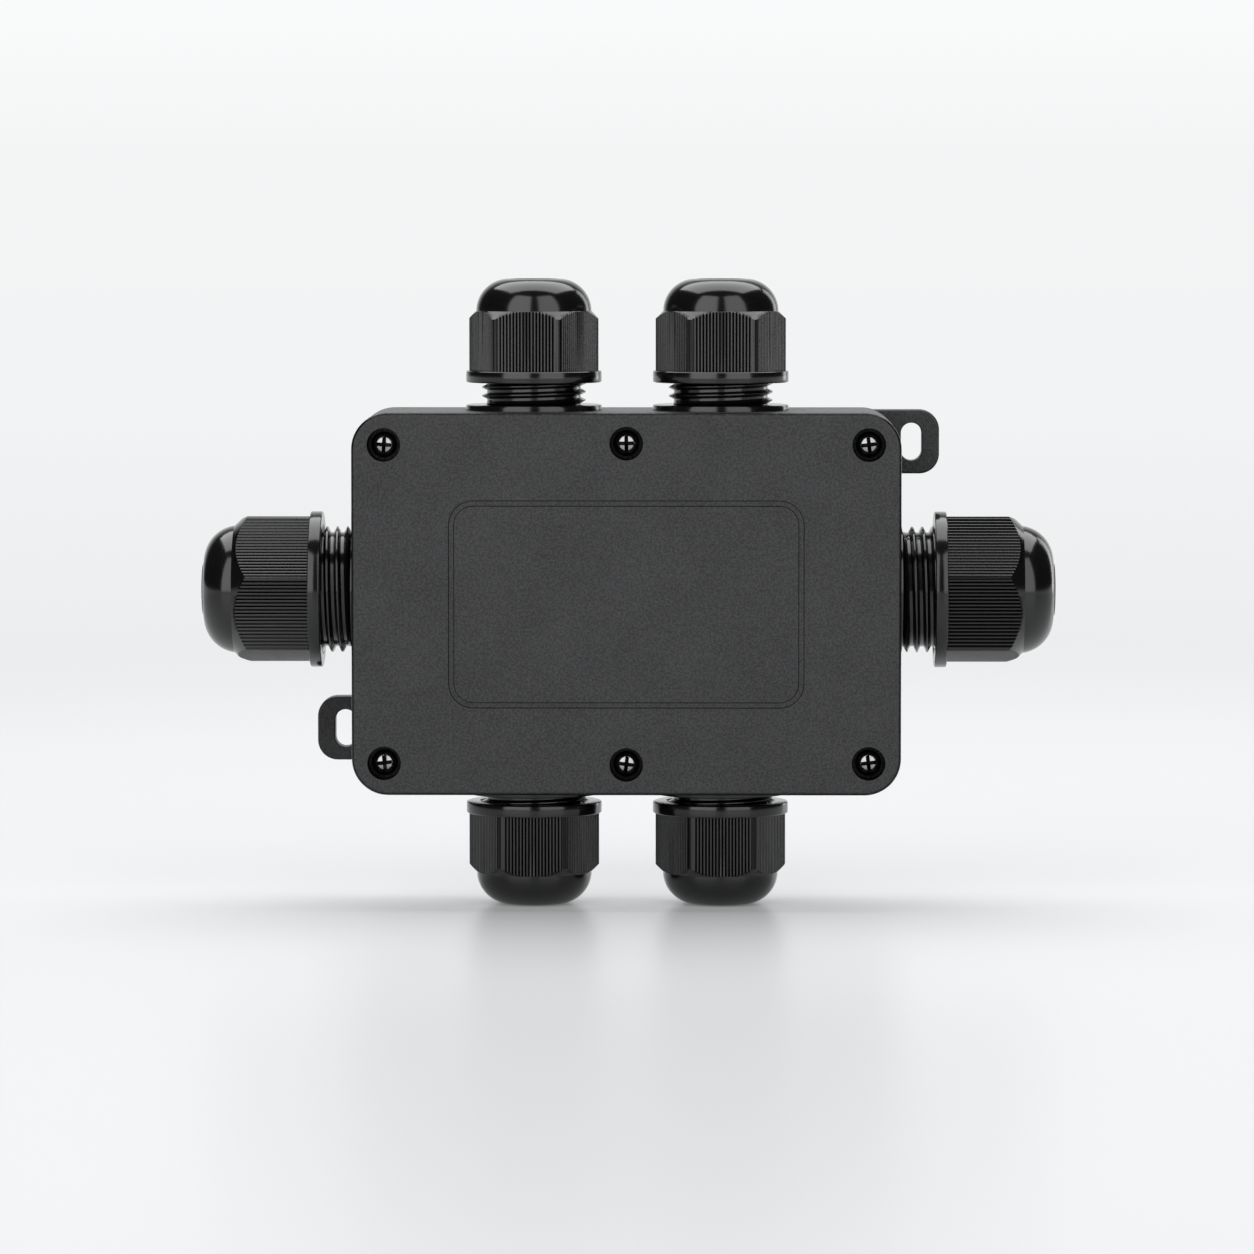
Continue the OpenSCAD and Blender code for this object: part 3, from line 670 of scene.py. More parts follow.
@dataclass(frozen=True)
class GlandSizes:
    """The sizes of one kind of gland, in millimetres, the heights counted from the nut's rear or the wall."""

    thread_r: float
    root_r: float
    pitch: float
    flange_r: float
    flange_t: float
    neck_r: float
    bore_r: float
    guide_r: float
    nut_len: float
    collar_r: float
    collar_h: float
    flats_r: float
    corners_r: float
    dome_foot_r: float
    dome_r: float
    opening_r: float
    cable_r: float
    show_most: float
    seal_end: float
    ribs: int
    flange_edge: float = 0.35
    rib_depth: float = 0.38
    thread_play: float = 0.15
    cone_drop: float = 2.9
    claw_head: float = 1.8
    chamfer_rise: float = 1.04
    opening_land: float = 1.2
    lip: float = 1.1

    @property
    def nut_bore_r(self) -> float:
        """The radius of the nut's bore."""
        return self.thread_r + self.thread_play

    @property
    def dome_z(self) -> float:
        """The height at which the dome starts."""
        return self.nut_len - self.dome_r

    @property
    def chamfer_top(self) -> float:
        """The height at which the turned chamfer of the corners meets the dome."""
        return self.dome_z + (self.flats_r - self.dome_foot_r) * self.chamfer_rise

    @property
    def cone_z(self) -> float:
        """The height at which the inner cone starts."""
        return self.dome_z - self.cone_drop

    @property
    def cone_slope(self) -> float:
        """How fast the inner cone closes."""
        return (self.nut_bore_r - self.opening_r) / (self.nut_len - self.opening_land - self.cone_z)

    @property
    def claw_z(self) -> float:
        """The height at which the clamping insert's head starts."""
        return self.cone_z - self.claw_head

    @property
    def body_end(self) -> float:
        """The outer end of the gland body, from the wall."""
        return self.flange_t + self.claw_z

    @property
    def guide_z(self) -> float:
        """The foot of the insert's guide in the gland body, from the wall."""
        return self.flange_t + self.claw_z - self.show_most - 1.5


SMALL_GLAND = GlandSizes(11.45, 10.35, 1.9, 15.0, 1.2, 10.0, 7.5, 8.9, 22.8, 14.95, 2.6, 12.75, 14.35, 12.7, 7.1,
                         5.4, 4.0, 4.9, 22.5, 18)
LARGE_GLAND = GlandSizes(13.9, 12.6, 2.25, 13.9, 0.6, 12.0, 9.3, 10.9, 26.3, 17.2, 2.7, 14.95, 17.15, 14.1, 7.7,
                         6.2, 4.8, 7.1, 26.6, 20, flange_edge=0.1, rib_depth=0.36)


AXIS_DEPTH = 17.5


@dataclass(frozen=True)
class GlandPlace:
    """Where one gland stands, which way it points, and how its nut is screwed on."""

    name: str
    sizes: GlandSizes
    seat: tuple[float, float]
    tilt: tuple[float, float]
    show: float
    turn_deg: float

    def matrix(self, lift: float = 0.0) -> Matrix:
        """Gives the turn and place of the gland's parts, from millimetres to metres.

        Args:
            lift: How far the part stands out from the wall.

        Returns:
            The matrix.
        """
        about_x, about_y = (math.radians(angle) for angle in self.tilt)
        turn = Matrix.Rotation(about_y, 4, "Y") @ Matrix.Rotation(about_x, 4, "X")
        seat = Matrix.Translation(Vector((self.seat[0], -AXIS_DEPTH, self.seat[1])) * MM)
        return seat @ turn @ Matrix.Scale(MM, 4) @ Matrix.Translation((0, 0, lift))


GLANDS = (
    GlandPlace("top_left", SMALL_GLAND, (-20.6, 41.8), (0, 0), 4.9, -6.0),
    GlandPlace("top_right", SMALL_GLAND, (20.6, 41.8), (0, 0), 4.9, 2.4),
    GlandPlace("bottom_left", SMALL_GLAND, (-20.6, -41.8), (180, 0), 1.7, 0.7),
    GlandPlace("bottom_right", SMALL_GLAND, (20.6, -41.8), (180, 0), 1.7, -2.0),
    GlandPlace("left", LARGE_GLAND, (-60.0, 2.15), (0, -90), 6.6, -18.0),
    GlandPlace("right", LARGE_GLAND, (60.0, 2.15), (0, 90), 7.1, 18.0),
)


@dataclass
class Glands:
    """The six cable glands: threaded bodies, ribbed nuts and the rubber seals in their ends."""

    workshop: Workshop
    body_columns: int = 180
    seal_columns: int = 96
    edge: float = 0.35
    mouth_flare: float = 0.6
    dome_steps: int = 16
    dome_lead: float = 0.1
    mouth_edge: float = 0.06
    root_play: float = 0.2
    tail_z: float = -9.5
    tail_edge: float = 0.4
    tail_thread: float = 0.7
    lip_round: float = 0.42
    seal_edge: float = 0.3
    # Painted shade in the ribs' grooves.
    groove_shade_paint: float = 0.9
    nut_sharp_deg: float = 27
    body_sharp_deg: float = 32
    seal_sharp_deg: float = 40

    def nut_rows(self, place: GlandPlace) -> list[Row]:
        """Gives a nut's rings, up its outside and down its inside."""
        size = place.sizes
        edge = self.edge
        mouth = size.nut_bore_r + self.mouth_flare
        rows = [Row(mouth, 0.0), Row(size.collar_r - edge, 0.0)]
        rows += [Row(size.collar_r - edge + edge * math.sin(a), edge - edge * math.cos(a))
                 for a in (math.pi / 6, math.pi / 3, math.pi / 2)]
        rows += [Row(size.collar_r - edge + edge * math.cos(a), size.collar_h - edge + edge * math.sin(a))
                 for a in (0, math.pi / 6, math.pi / 3, math.pi / 2)]
        rows += [Row(0, size.collar_h, ribbed=1.0), Row(0, 0, ribbed=1.0, chamfer=1.0, slide=0.0)]
        rows += [Row(0, 0, chamfer=1.0, slide=share) for share in (0.5, 1.0)]
        centre_r = size.dome_foot_r - size.dome_r
        first = math.asin(min((size.chamfer_top - size.dome_z) / size.dome_r, 1.0))
        for step in (self.dome_lead, *range(1, self.dome_steps + 1)):
            angle = first + (math.pi / 2 - first) * step / self.dome_steps
            rows.append(Row(centre_r + size.dome_r * math.cos(angle), size.dome_z + size.dome_r * math.sin(angle)))
        land = size.nut_len - size.opening_land
        rows += [Row(size.opening_r + self.mouth_edge, size.nut_len - self.mouth_edge),
                 Row(size.opening_r, size.nut_len - 0.2), Row(size.opening_r, land), Row(size.nut_bore_r, size.cone_z)]
        low, high = 0.8, size.body_end - size.flange_t + 0.6
        phase = size.pitch / 2 - place.show
        inner = thread_rows(size.root_r + self.root_play, size.nut_bore_r, low - phase, high - phase, size.pitch,
                            inner=True)
        rows += [Row(ring.radius, ring.height + phase, helix=1.0, low=low, high=high, root=size.nut_bore_r)
                 for ring in inner]
        rows += [Row(size.nut_bore_r, 0.6), Row(mouth, 0.0)]
        return rows

    def body_rows(self, size: GlandSizes) -> list[Row]:
        """Gives a gland body's rings, up its outside and down its inside."""
        tail, edge, foot_r = self.tail_z, size.flange_edge, size.neck_r - self.tail_thread
        rows = [Row(size.bore_r + self.tail_edge, tail), Row(size.neck_r - 0.8, tail), Row(foot_r, tail + 0.1)]
        rows += thread_rows(size.neck_r, foot_r, tail + 0.1, -3.0, 1.5)
        rows += [Row(size.neck_r, -2.9), Row(size.neck_r, 0.0), Row(size.flange_r, 0.0),
                 Row(size.flange_r, size.flange_t - edge), Row(size.flange_r - edge * 0.3, size.flange_t - edge * 0.3),
                 Row(size.flange_r - edge, size.flange_t), Row(size.root_r, size.flange_t)]
        rows += [Row(ring.radius, ring.height + size.flange_t, helix=1.0, low=size.flange_t,
                     high=size.body_end - 0.5, root=size.root_r)
                 for ring in thread_rows(size.thread_r, size.root_r, 0.0, size.body_end - size.flange_t, size.pitch)]
        rows += [Row(size.root_r, size.body_end - 0.3), Row(size.root_r - 0.3, size.body_end),
                 Row(size.guide_r, size.body_end), Row(size.guide_r, size.guide_z), Row(size.bore_r, size.guide_z),
                 Row(size.bore_r, tail + self.tail_edge), Row(size.bore_r + self.tail_edge, tail)]
        return rows

    def seal_rows(self, size: GlandSizes) -> list[Row]:
        """Gives a cable seal's rings, with its rounded lip."""
        lip_r = size.cable_r + size.lip
        seal_r = size.guide_r - 0.2 - 1.6 - 0.1
        wall = size.nut_bore_r - 0.5
        foot = size.claw_z - size.claw_head
        edge, round_r, top = self.seal_edge, self.lip_round, size.seal_end
        rows = [Row(size.cable_r + edge, foot), Row(seal_r - edge, foot), Row(seal_r, foot + edge),
                Row(seal_r, size.cone_z + (wall - seal_r) / size.cone_slope),
                Row(lip_r, size.cone_z + (wall - lip_r) / size.cone_slope)]
        rows += [Row(lip_r - round_r + round_r * math.cos(a), top - round_r + round_r * math.sin(a))
                 for a in (0, math.pi / 6, math.pi / 3, math.pi / 2)]
        rows += [Row(size.cable_r + round_r - round_r * math.sin(a), top - round_r + round_r * math.cos(a))
                 for a in (0, math.pi / 6, math.pi / 3, math.pi / 2)]
        rows += [Row(size.cable_r, foot + edge), Row(size.cable_r + edge, foot)]
        return rows

    def groove_share(self, place: GlandPlace, spot: Vector) -> float:
        """Tells how far down in a rib's groove a spot of a nut lies, from 0 on the ridge to 1."""
        size = place.sizes
        lean = (math.atan2(spot.y, spot.x) - math.radians(place.turn_deg)) % (math.pi / 3) - math.pi / 6
        return (size.flats_r / math.cos(lean) - math.hypot(spot.x, spot.y)) / size.rib_depth

    def round_ridges(self, nut: bpy.types.Object, place: GlandPlace) -> None:
        """Lets the ribs' ridges shade round and paints shade into their grooves, which turn darker and lose most
        reflections.

        Args:
            nut: The nut, still upright on its own axis and in millimetres.
            place: The gland that it belongs to.
        """
        size = place.sizes
        mesh = nut.data
        marks = []
        for face in mesh.polygons:
            deep = self.groove_share(place, face.center) if size.collar_h < face.center.z < size.chamfer_top else 0.0
            # Painted shade: faces deep in a groove are marked dark, with little reflection.
            marks.append(self.groove_shade_paint if 0.6 < deep < 1.1 else 0.0)
        mesh.attributes.new(SHADE_PAINT, "FLOAT", "FACE").data.foreach_set("value", marks)
        sharp = mesh.attributes["sharp_edge"].data
        for edge in mesh.edges:
            first, second = (mesh.vertices[index].co for index in edge.vertices)
            if abs(first.z - second.z) < size.collar_h:
                continue
            if self.groove_share(place, first) < 0.5:
                sharp[edge.index].value = False

    def build(self) -> None:
        """Builds, dresses and hands over every gland."""
        ribbed = TurnedTree(ribbed=True).tree
        turned = TurnedTree(ribbed=False).tree
        nylon = self.workshop.materials[Slot.GLAND_NYLON]
        rubber = self.workshop.materials[Slot.SEAL_RUBBER]
        for place in GLANDS:
            size = place.sizes
            rear = size.flange_t + place.show
            name = f"{place.name}_ribbed_nut"
            nut = run_tree(name, profile_mesh(name, self.nut_rows(place)), ribbed, {
                "Pitch": size.pitch, "Finish": nylon, "Ribs per face": size.ribs, "Rib depth": size.rib_depth,
                "Flats radius": size.flats_r, "Corner radius": size.corners_r,
                "Turn": math.radians(place.turn_deg), "Chamfer foot": size.dome_foot_r,
                "Chamfer top": size.chamfer_top, "Chamfer rise": size.chamfer_rise})
            smooth(nut, self.nut_sharp_deg)
            self.round_ridges(nut, place)
            nut.data.transform(place.matrix(rear))
            self.workshop.hand_over(nut, f"{place.name}_nut", Slot.GLAND_NYLON, f"{place.name}_nut")
            name = f"{place.name}_threaded_body"
            stub = run_tree(name, profile_mesh(name, self.body_rows(size)), turned,
                            {"Pitch": size.pitch, "Finish": nylon, "Columns": self.body_columns})
            stub.data.transform(place.matrix())
            smooth(stub, self.body_sharp_deg)
            self.workshop.hand_over(stub, "base", Slot.GLAND_NYLON, f"{place.name}_gland_body")
            name = f"{place.name}_lip_seal"
            seal = run_tree(name, profile_mesh(name, self.seal_rows(size)), turned,
                            {"Pitch": size.pitch, "Finish": rubber, "Columns": self.seal_columns})
            seal.data.transform(place.matrix(rear))
            smooth(seal, self.seal_sharp_deg)
            self.workshop.hand_over(seal, f"{place.name}_insert", Slot.SEAL_RUBBER, f"{place.name}_cable_seal")


MIDDLE_OUT = 0.3
SCREW_X, SCREW_Z = 52.9, 34.8
SCREW_PLACES = tuple((x, side * (SCREW_Z + (0.0 if x else MIDDLE_OUT))) for side in (1, -1)
                     for x in (-SCREW_X, 0.0, SCREW_X))
SCREW_SEAT = 34.6
STRIP_PLACES = ((-15, 0), (15, 0))
EARS = ((1, 34.3), (-1, -29.7))


@dataclass
class Shell:
    """The two mouldings, base and lid, in millimetres, counted from the wall plane."""

    workshop: Workshop
    width: float = 120.0
    height: float = 83.6
    corner: float = 8.0
    seat: float = 33.0
    lid_top: float = 38.0
    lid_edge: float = 0.9
    wall: float = 3.0
    back: float = 3.0
    post_r: float = 5.0
    parting: float = 0.22
    back_edge: float = 0.7
    floor_soft: float = 0.8
    wall_soft: float = 0.9
    mouth_flare: float = 0.25
    ear_t: float = 5.0
    ear_end: float = 69.2
    ear_root: float = 50.0
    ear_half: float = 7.1
    ear_corner: float = 4.4
    ear_edge: float = 0.5
    ear_foot: float = 0.3
    slot_x: float = 63.0
    slot_w: float = 4.6
    slot_h: float = 8.4
    slot_flare: float = 0.3
    hole_play: float = 0.2
    panel: Corner = (77.6, 45.3, 5.4)
    line_w: float = 1.2
    line_d: float = 0.3
    line_soft: float = 0.12
    under_depth: float = 2.4
    groove_depth: float = 0.8
    groove_soft: float = 0.5
    groove_outside: Point = (1.15, 2.85)
    groove_inside: Point = (2.55, 4.25)
    screw_hole_r: float = 1.7
    recess_r: float = 3.6
    recess_flare: float = 0.16
    # Painted shade: the whole base is marked darker, standing in for the shade that falls on it behind the lid.
    base_shade_paint: float = 0.22
    # Painted shade: black inside the lid's screw recesses.
    recess_shade_paint: float = 1.0
    # Painted shade on faces near the lid's front that tilt away from it: the rounded edge and panel line walls darken
    # with the tilt.
    edge_shade_from_deg: float = 14.0
    edge_shade_over_deg: float = 36.0
    sharp_deg: float = 30

    def outline(self, inset: float) -> list[Point]:
        """Gives the box's outline moved inwards."""
        return rounded_rect(self.width - 2 * inset, self.height - 2 * inset, self.corner - inset, 16)

    def inner_outline(self, inset: float, post: float, soft: float) -> list[Point]:
        """Gives the outline inside the walls, which passes the screw posts.

        Args:
            inset: The distance from the box's outside.
            post: The radius of the posts.
            soft: The radius of the corners between posts and walls.

        Returns:
            The outline's points.
        """
        wall_x, wall_z = self.width / 2 - inset, self.height / 2 - inset
        px, pz = SCREW_PLACES[2]
        quarter = [(wall_x, pz - post, soft), (px - post, pz - post, post), (px - post, wall_z, soft),
                   (post, wall_z, soft), (post, pz + MIDDLE_OUT - post, post)]
        half = quarter + [(-x, z, radius) for x, z, radius in reversed(quarter)]
        return rounded_path(half + [(-x, -z, radius) for x, z, radius in half], 8)

    def cavity_outline(self, inset: float = 0.0) -> list[Point]:
        """Gives the outline of the hollow inside, moved inwards from walls and posts."""
        return self.inner_outline(self.wall + inset, self.post_r + inset, self.wall_soft)

    def turned_tool(self, name: str, profile: Sequence[Point], places: Sequence[Point]) -> bpy.types.Object:
        """Gives upright round solids at several places, as one tool.

        Args:
            name: The tool's name.
            profile: Their radius and depth, from the back to the front.
            places: Their places on the wall plane.

        Returns:
            The tool.
        """
        tools = [loft(name, [(depth, circle(radius, 72, centre)) for radius, depth in profile]) for centre in places]
        first = tools[0]
        joined = bmesh.new()
        for tool in tools:
            joined.from_mesh(tool.data)
        joined.to_mesh(first.data)
        joined.free()
        for tool in tools[1:]:
            bpy.data.objects.remove(tool)
        return first

    def ear(self, side: int, centre_z: float) -> bpy.types.Object:
        """Gives one mounting ear with its slot.

        Args:
            side: 1 for the right ear, -1 for the left one.
            centre_z: The height of its middle.

        Returns:
            The ear.
        """
        def shape(inset: float) -> list[Point]:
            """Gives the ear's outline moved inwards."""
            out, root, half = side * (self.ear_end - inset), side * self.ear_root, self.ear_half - inset
            corner = self.ear_corner - inset
            return rounded_path([(root, centre_z - half, 0.0), (out, centre_z - half, corner),
                                 (out, centre_z + half, corner), (root, centre_z + half, 0.0)], 12)

        layers = [(0.0, shape(self.ear_foot)), (self.ear_foot, shape(0.0))]
        layers += [(self.ear_t - self.ear_edge + rise, shape(inset)) for inset, rise in arc_steps(self.ear_edge, 4)]
        ear = loft("ear", layers)
        centre = (side * self.slot_x, centre_z)
        flare = self.slot_flare
        slot = [(-1.0, 0.0), (self.ear_t - flare, 0.0)]
        slot += [(self.ear_t - flare + rise, inset) for inset, rise in arc_steps(flare, 4)[1:]]
        slot.append((self.ear_t + 1.0, flare))
        end_r = self.slot_w / 2 - 0.001
        carve(ear, loft("slot", [(depth, rounded_rect(self.slot_w + 2 * wide, self.slot_h + 2 * wide, end_r + wide, 14,
                                                      centre)) for depth, wide in slot]), Carving.CUT)
        return ear

    def polish(self, piece: bpy.types.Object, plain: float, recess: float) -> None:
        """Paints shade into a moulding: each face's mark makes it darker and smoother, inside the screw recesses, on
        steep faces at the lid's front and over the whole base.

        Args:
            piece: The moulding.
            plain: The painted shade of its plain faces.
            recess: The painted shade inside the screw recesses.
        """
        marks = []
        for face in piece.data.polygons:
            x, y, z = face.center / MM
            away = min(math.hypot(x - px, z - pz) for px, pz in SCREW_PLACES)
            # Painted shade: the more a face near the lid's front tilts away from it, the darker it is marked.
            tilt = math.degrees(math.acos(min(abs(face.normal.y), 1.0)))
            edge_shade = min(max((tilt - self.edge_shade_from_deg) / self.edge_shade_over_deg, 0.0), 1.0)
            if -y <= self.lid_top - self.lid_edge:
                edge_shade = 0.0
            # Painted shade: faces inside a screw recess are marked black, where shade falls.
            inside = away < self.recess_r + 0.15 and -y < self.lid_top - 0.1
            marks.append(recess if inside else max(plain, edge_shade))
        piece.data.attributes.new(SHADE_PAINT, "FLOAT", "FACE").data.foreach_set("value", marks)

    def build_base(self) -> None:
        """Builds the base with its ears, posts and openings."""
        layers = [(self.back_edge - rise, self.outline(inset))
                  for inset, rise in reversed(arc_steps(self.back_edge, 5))]
        layers += [(self.seat - self.parting, self.outline(0.0)), (self.seat, self.outline(self.parting))]
        base = loft("moulded_base", layers)
        for side, centre_z in EARS:
            carve(base, self.ear(side, centre_z), Carving.JOIN)
        flare = self.mouth_flare
        cavity = [(self.back + self.floor_soft - rise, self.cavity_outline(inset))
                  for inset, rise in reversed(arc_steps(self.floor_soft, 4))]
        cavity += [(self.seat - flare, self.cavity_outline()), (self.seat, self.cavity_outline(-flare)),
                   (self.seat + 1.0, self.cavity_outline(-flare))]
        carve(base, loft("cavity", cavity), Carving.CUT)
        carve(base, self.turned_tool("insert_holes", [(1.7, 23.2), (1.7, 27.0), (2.1, 27.0), (2.1, 34.0)],
                                     SCREW_PLACES), Carving.CUT)
        carve(base, self.turned_tool("strip_posts", [(3.9, 2.5), (3.9, 3.2), (3.5, 3.6), (3.5, 5.75), (3.25, 6.0)],
                                     STRIP_PLACES), Carving.JOIN)
        carve(base, self.turned_tool("strip_post_holes", [(1.525, 3.0), (1.525, 7.0)], STRIP_PLACES), Carving.CUT)
        for place in GLANDS:
            hole_r = place.sizes.neck_r + self.hole_play
            ring_r = hole_r + (2.6 if place.sizes is SMALL_GLAND else 1.4)
            tool = loft("gland_hole", [(0, circle(hole_r, 96)), (2.5, circle(hole_r, 96)),
                                       (2.5, circle(ring_r, 96)), (5.0, circle(ring_r, 96))])
            tool.data.transform(Matrix.Rotation(-math.pi / 2, 4, "X") @ Matrix.Scale(1 / MM, 4))
            tool.data.transform(place.matrix() @ Matrix.Translation((0, 0, -3.5)))
            carve(base, tool, Carving.CUT)
        smooth(base, self.sharp_deg, weighted=True)
        # Painted shade over the whole base, standing in for the shade behind the lid.
        self.polish(base, self.base_shade_paint, self.base_shade_paint)
        self.workshop.dress(base, Slot.BOX_PLASTIC)
        self.workshop.hand_over(base, "base", Slot.BOX_PLASTIC, "base")

    def build_lid(self) -> None:
        """Builds the lid with its outlined panel, screw recesses and gasket groove."""
        line_w, line_d, soft = self.line_w, self.line_d, self.line_soft
        width, height, corner = self.panel
        layers = [(self.seat, self.outline(self.parting)), (self.seat + self.parting, self.outline(0.0))]
        layers += [(self.lid_top - self.lid_edge + rise, self.outline(inset))
                   for inset, rise in arc_steps(self.lid_edge, 8)]

        def frame_line(inset: float) -> list[Point]:
            """Gives the panel's outline moved inwards."""
            return rounded_rect(width - 2 * inset, height - 2 * inset, corner - inset, 16)

        layers += [(self.lid_top, frame_line(-soft)), (self.lid_top - soft * 0.3, frame_line(-soft * 0.3)),
                   (self.lid_top - soft, frame_line(0.0)), (self.lid_top - line_d, frame_line(0.1)),
                   (self.lid_top - line_d, frame_line(line_w - 0.1)), (self.lid_top - soft, frame_line(line_w)),
                   (self.lid_top - soft * 0.3, frame_line(line_w + soft * 0.3)),
                   (self.lid_top, frame_line(line_w + soft))]
        lid = loft("moulded_lid", layers)
        carve(lid, loft("under_recess", [(self.seat - 1.0, self.cavity_outline()),
                                         (self.seat + self.under_depth, self.cavity_outline())]), Carving.CUT)
        outside = self.inner_outline(*self.groove_outside, self.groove_soft)
        inside = self.inner_outline(*self.groove_inside, self.groove_soft)
        groove = loft("groove", [(self.seat - 1.0, outside), (self.seat + self.groove_depth, outside)])
        carve(groove, loft("groove_core", [(self.seat - 2.0, inside), (self.seat + 2.0, inside)]), Carving.CUT)
        carve(lid, groove, Carving.CUT)
        hole_r, wide, flare = self.screw_hole_r, self.recess_r, self.recess_flare
        recess = [(hole_r, self.seat - 1.0), (hole_r, SCREW_SEAT), (wide - 0.1, SCREW_SEAT), (wide, SCREW_SEAT + 0.1),
                  (wide, self.lid_top - flare)]
        recess += [(wide + inset, self.lid_top - flare + rise) for inset, rise in arc_steps(flare, 5)[1:]]
        recess.append((wide + flare, self.lid_top + 1.0))
        carve(lid, self.turned_tool("recesses", recess, SCREW_PLACES), Carving.CUT)
        smooth(lid, self.sharp_deg, weighted=True)
        # Painted shade in the lid's screw recesses and on its steep front faces.
        self.polish(lid, 0.0, self.recess_shade_paint)
        self.workshop.dress(lid, Slot.BOX_PLASTIC)
        self.workshop.hand_over(lid, "lid", Slot.BOX_PLASTIC, "lid")

    def build(self) -> None:
        """Builds both mouldings."""
        self.build_base()
        self.build_lid()


@dataclass
class LidScrews:
    """The six black pan-head screws with a cross drive, in millimetres from the head's seat."""

    workshop: Workshop
    head_r: float = 2.85
    head_h: float = 1.5
    crown_r: float = 4.2
    shank_r: float = 1.5
    shank_len: float = 10.0
    thread_pitch: float = 0.5
    thread_depth: float = 0.25
    crown_steps: int = 8
    drive_depth: float = 1.4
    drive_reach: float = 2.0
    columns: int = 64
    spin: float = 0.14
    seed: int = 7
    sharp_deg: float = 38

    def rows(self) -> list[Row]:
        """Gives the rings of shank and head, from the tip up to the middle of the head."""
        tip = -self.shank_len
        foot_r = self.shank_r - self.thread_depth
        rows = [Row(0.0, tip), Row(self.shank_r - 0.4, tip), Row(foot_r, tip + 0.15)]
        rows += thread_rows(self.shank_r, foot_r, tip + 0.15, -1.0, self.thread_pitch)
        rows += [Row(self.shank_r - 0.05, -0.9), Row(self.shank_r - 0.05, 0.0), Row(self.head_r - 0.15, 0.0),
                 Row(self.head_r, 0.12), Row(self.head_r, 0.2)]
        foot = math.asin((self.head_r - 0.25) / self.crown_r)
        rows += [Row(self.crown_r * math.sin(a), self.crown_height(self.crown_r * math.sin(a)))
                 for a in (foot * (self.crown_steps - step) / self.crown_steps
                           for step in range(self.crown_steps + 1))]
        return rows

    def crown_height(self, radius: float) -> float:
        """Gives the height of the head's crown at a distance from its middle."""
        return self.head_h - self.crown_r + math.sqrt(self.crown_r ** 2 - radius ** 2)

    def paint_drive_shade(self, screw: bpy.types.Object) -> None:
        """Paints shade into the faces inside the cross drive, which turn black and smooth."""
        marks = []
        for face in screw.data.polygons:
            x, y, z = face.center / MM
            reach = math.hypot(x, z)
            inside = reach < self.drive_reach and -y < self.crown_height(min(reach, self.head_r)) - 0.07
            marks.append(1.0 if inside else 0.0)
        screw.data.attributes.new(SHADE_PAINT, "FLOAT", "FACE").data.foreach_set("value", marks)

    def cross(self, reach: float, half: float) -> list[Point]:
        """Gives the outline of the cross drive at one depth."""
        quarter = [(reach, -half), (reach, half), (half, half)]
        return [(x * c - z * s, x * s + z * c) for c, s in ((1, 0), (0, 1), (-1, 0), (0, -1)) for x, z in quarter]

    def placing_tree(self, screw: bpy.types.Object) -> bpy.types.NodeTree:
        """Builds the geometry tree that puts the screw at each point.

        Args:
            screw: The screw that is repeated.

        Returns:
            The tree.
        """
        bench = new_group("Screws in recesses", "GeometryNodeTree",
                          {"Places": ("NodeSocketGeometry", None), "Finish": ("NodeSocketMaterial", None),
                           "Spin": ("NodeSocketFloat", 0.6), "Seed": ("NodeSocketInt", 7)},
                          {"Screws": "NodeSocketGeometry"})
        given = bench.add("NodeGroupInput")
        source = bench.add("GeometryNodeObjectInfo")
        source.inputs[0].default_value = screw
        spin = bench.add("FunctionNodeRandomValue", data_type="FLOAT")
        bench.feed(spin.inputs["Min"], bench.wire(given, "Spin") * -1.0)
        bench.feed(spin.inputs["Max"], given.outputs["Spin"])
        bench.feed(spin.inputs["Seed"], given.outputs["Seed"])
        turned = bench.add("ShaderNodeCombineXYZ")
        bench.feed(turned.inputs[1], next(s for s in spin.outputs if s.enabled))
        placed = bench.add("GeometryNodeInstanceOnPoints", {"Points": given.outputs[0],
                                                            "Instance": source.outputs["Geometry"],
                                                            "Rotation": turned.outputs[0]})
        real = bench.add("GeometryNodeRealizeInstances", {0: placed.outputs[0]})
        done = bench.add("GeometryNodeSetMaterial", {"Geometry": real.outputs[0], "Material": given.outputs["Finish"]})
        bench.feed(bench.add("NodeGroupOutput").inputs[0], done.outputs[0])
        return bench.tree

    def build(self) -> None:
        """Builds one screw, puts it in the six recesses and hands the set over."""
        steel = self.workshop.materials[Slot.SCREW_STEEL]
        turned = TurnedTree(ribbed=False).tree
        screw = run_tree("screw", profile_mesh("screw", self.rows()), turned,
                         {"Pitch": self.thread_pitch, "Finish": steel, "Columns": self.columns})
        screw.data.transform(Matrix.Rotation(math.pi / 2, 4, "X") @ Matrix.Scale(MM, 4))
        drive = loft("drive", [(self.head_h - self.drive_depth, self.cross(0.8, 0.25)),
                               (self.head_h - 1.1, self.cross(1.35, 0.35)),
                               (self.head_h + 0.3, self.cross(1.85, 0.45))])
        carve(screw, drive, Carving.CUT)
        # Painted shade inside the cross drive.
        self.paint_drive_shade(screw)
        smooth(screw, self.sharp_deg)
        points = bpy.data.meshes.new("screw_places")
        points.from_pydata([(x * MM, -SCREW_SEAT * MM, z * MM) for x, z in SCREW_PLACES], [], [])
        screws = run_tree("lid_screws", points, self.placing_tree(screw),
                          {"Finish": steel, "Spin": self.spin, "Seed": self.seed})
        bpy.data.objects.remove(screw)
        self.workshop.hand_over(screws, "lid", Slot.SCREW_STEEL, *(f"lid_screw_{index}" for index in range(1, 7)))


@dataclass
class Fittings:
    """The solids that keep their shape and only get their finish."""

    workshop: Workshop

    def build(self) -> None:
        """Dresses every solid that is still shown with its slot's finish."""
        for row in frame["record"]["subparts"]:
            node = frame["nodes"][row["node"]]
            if not node.hide_render:
                self.workshop.dress(node, Slot(row["material_slot"]))
                LOG.info("%s: kept solid", node.name)


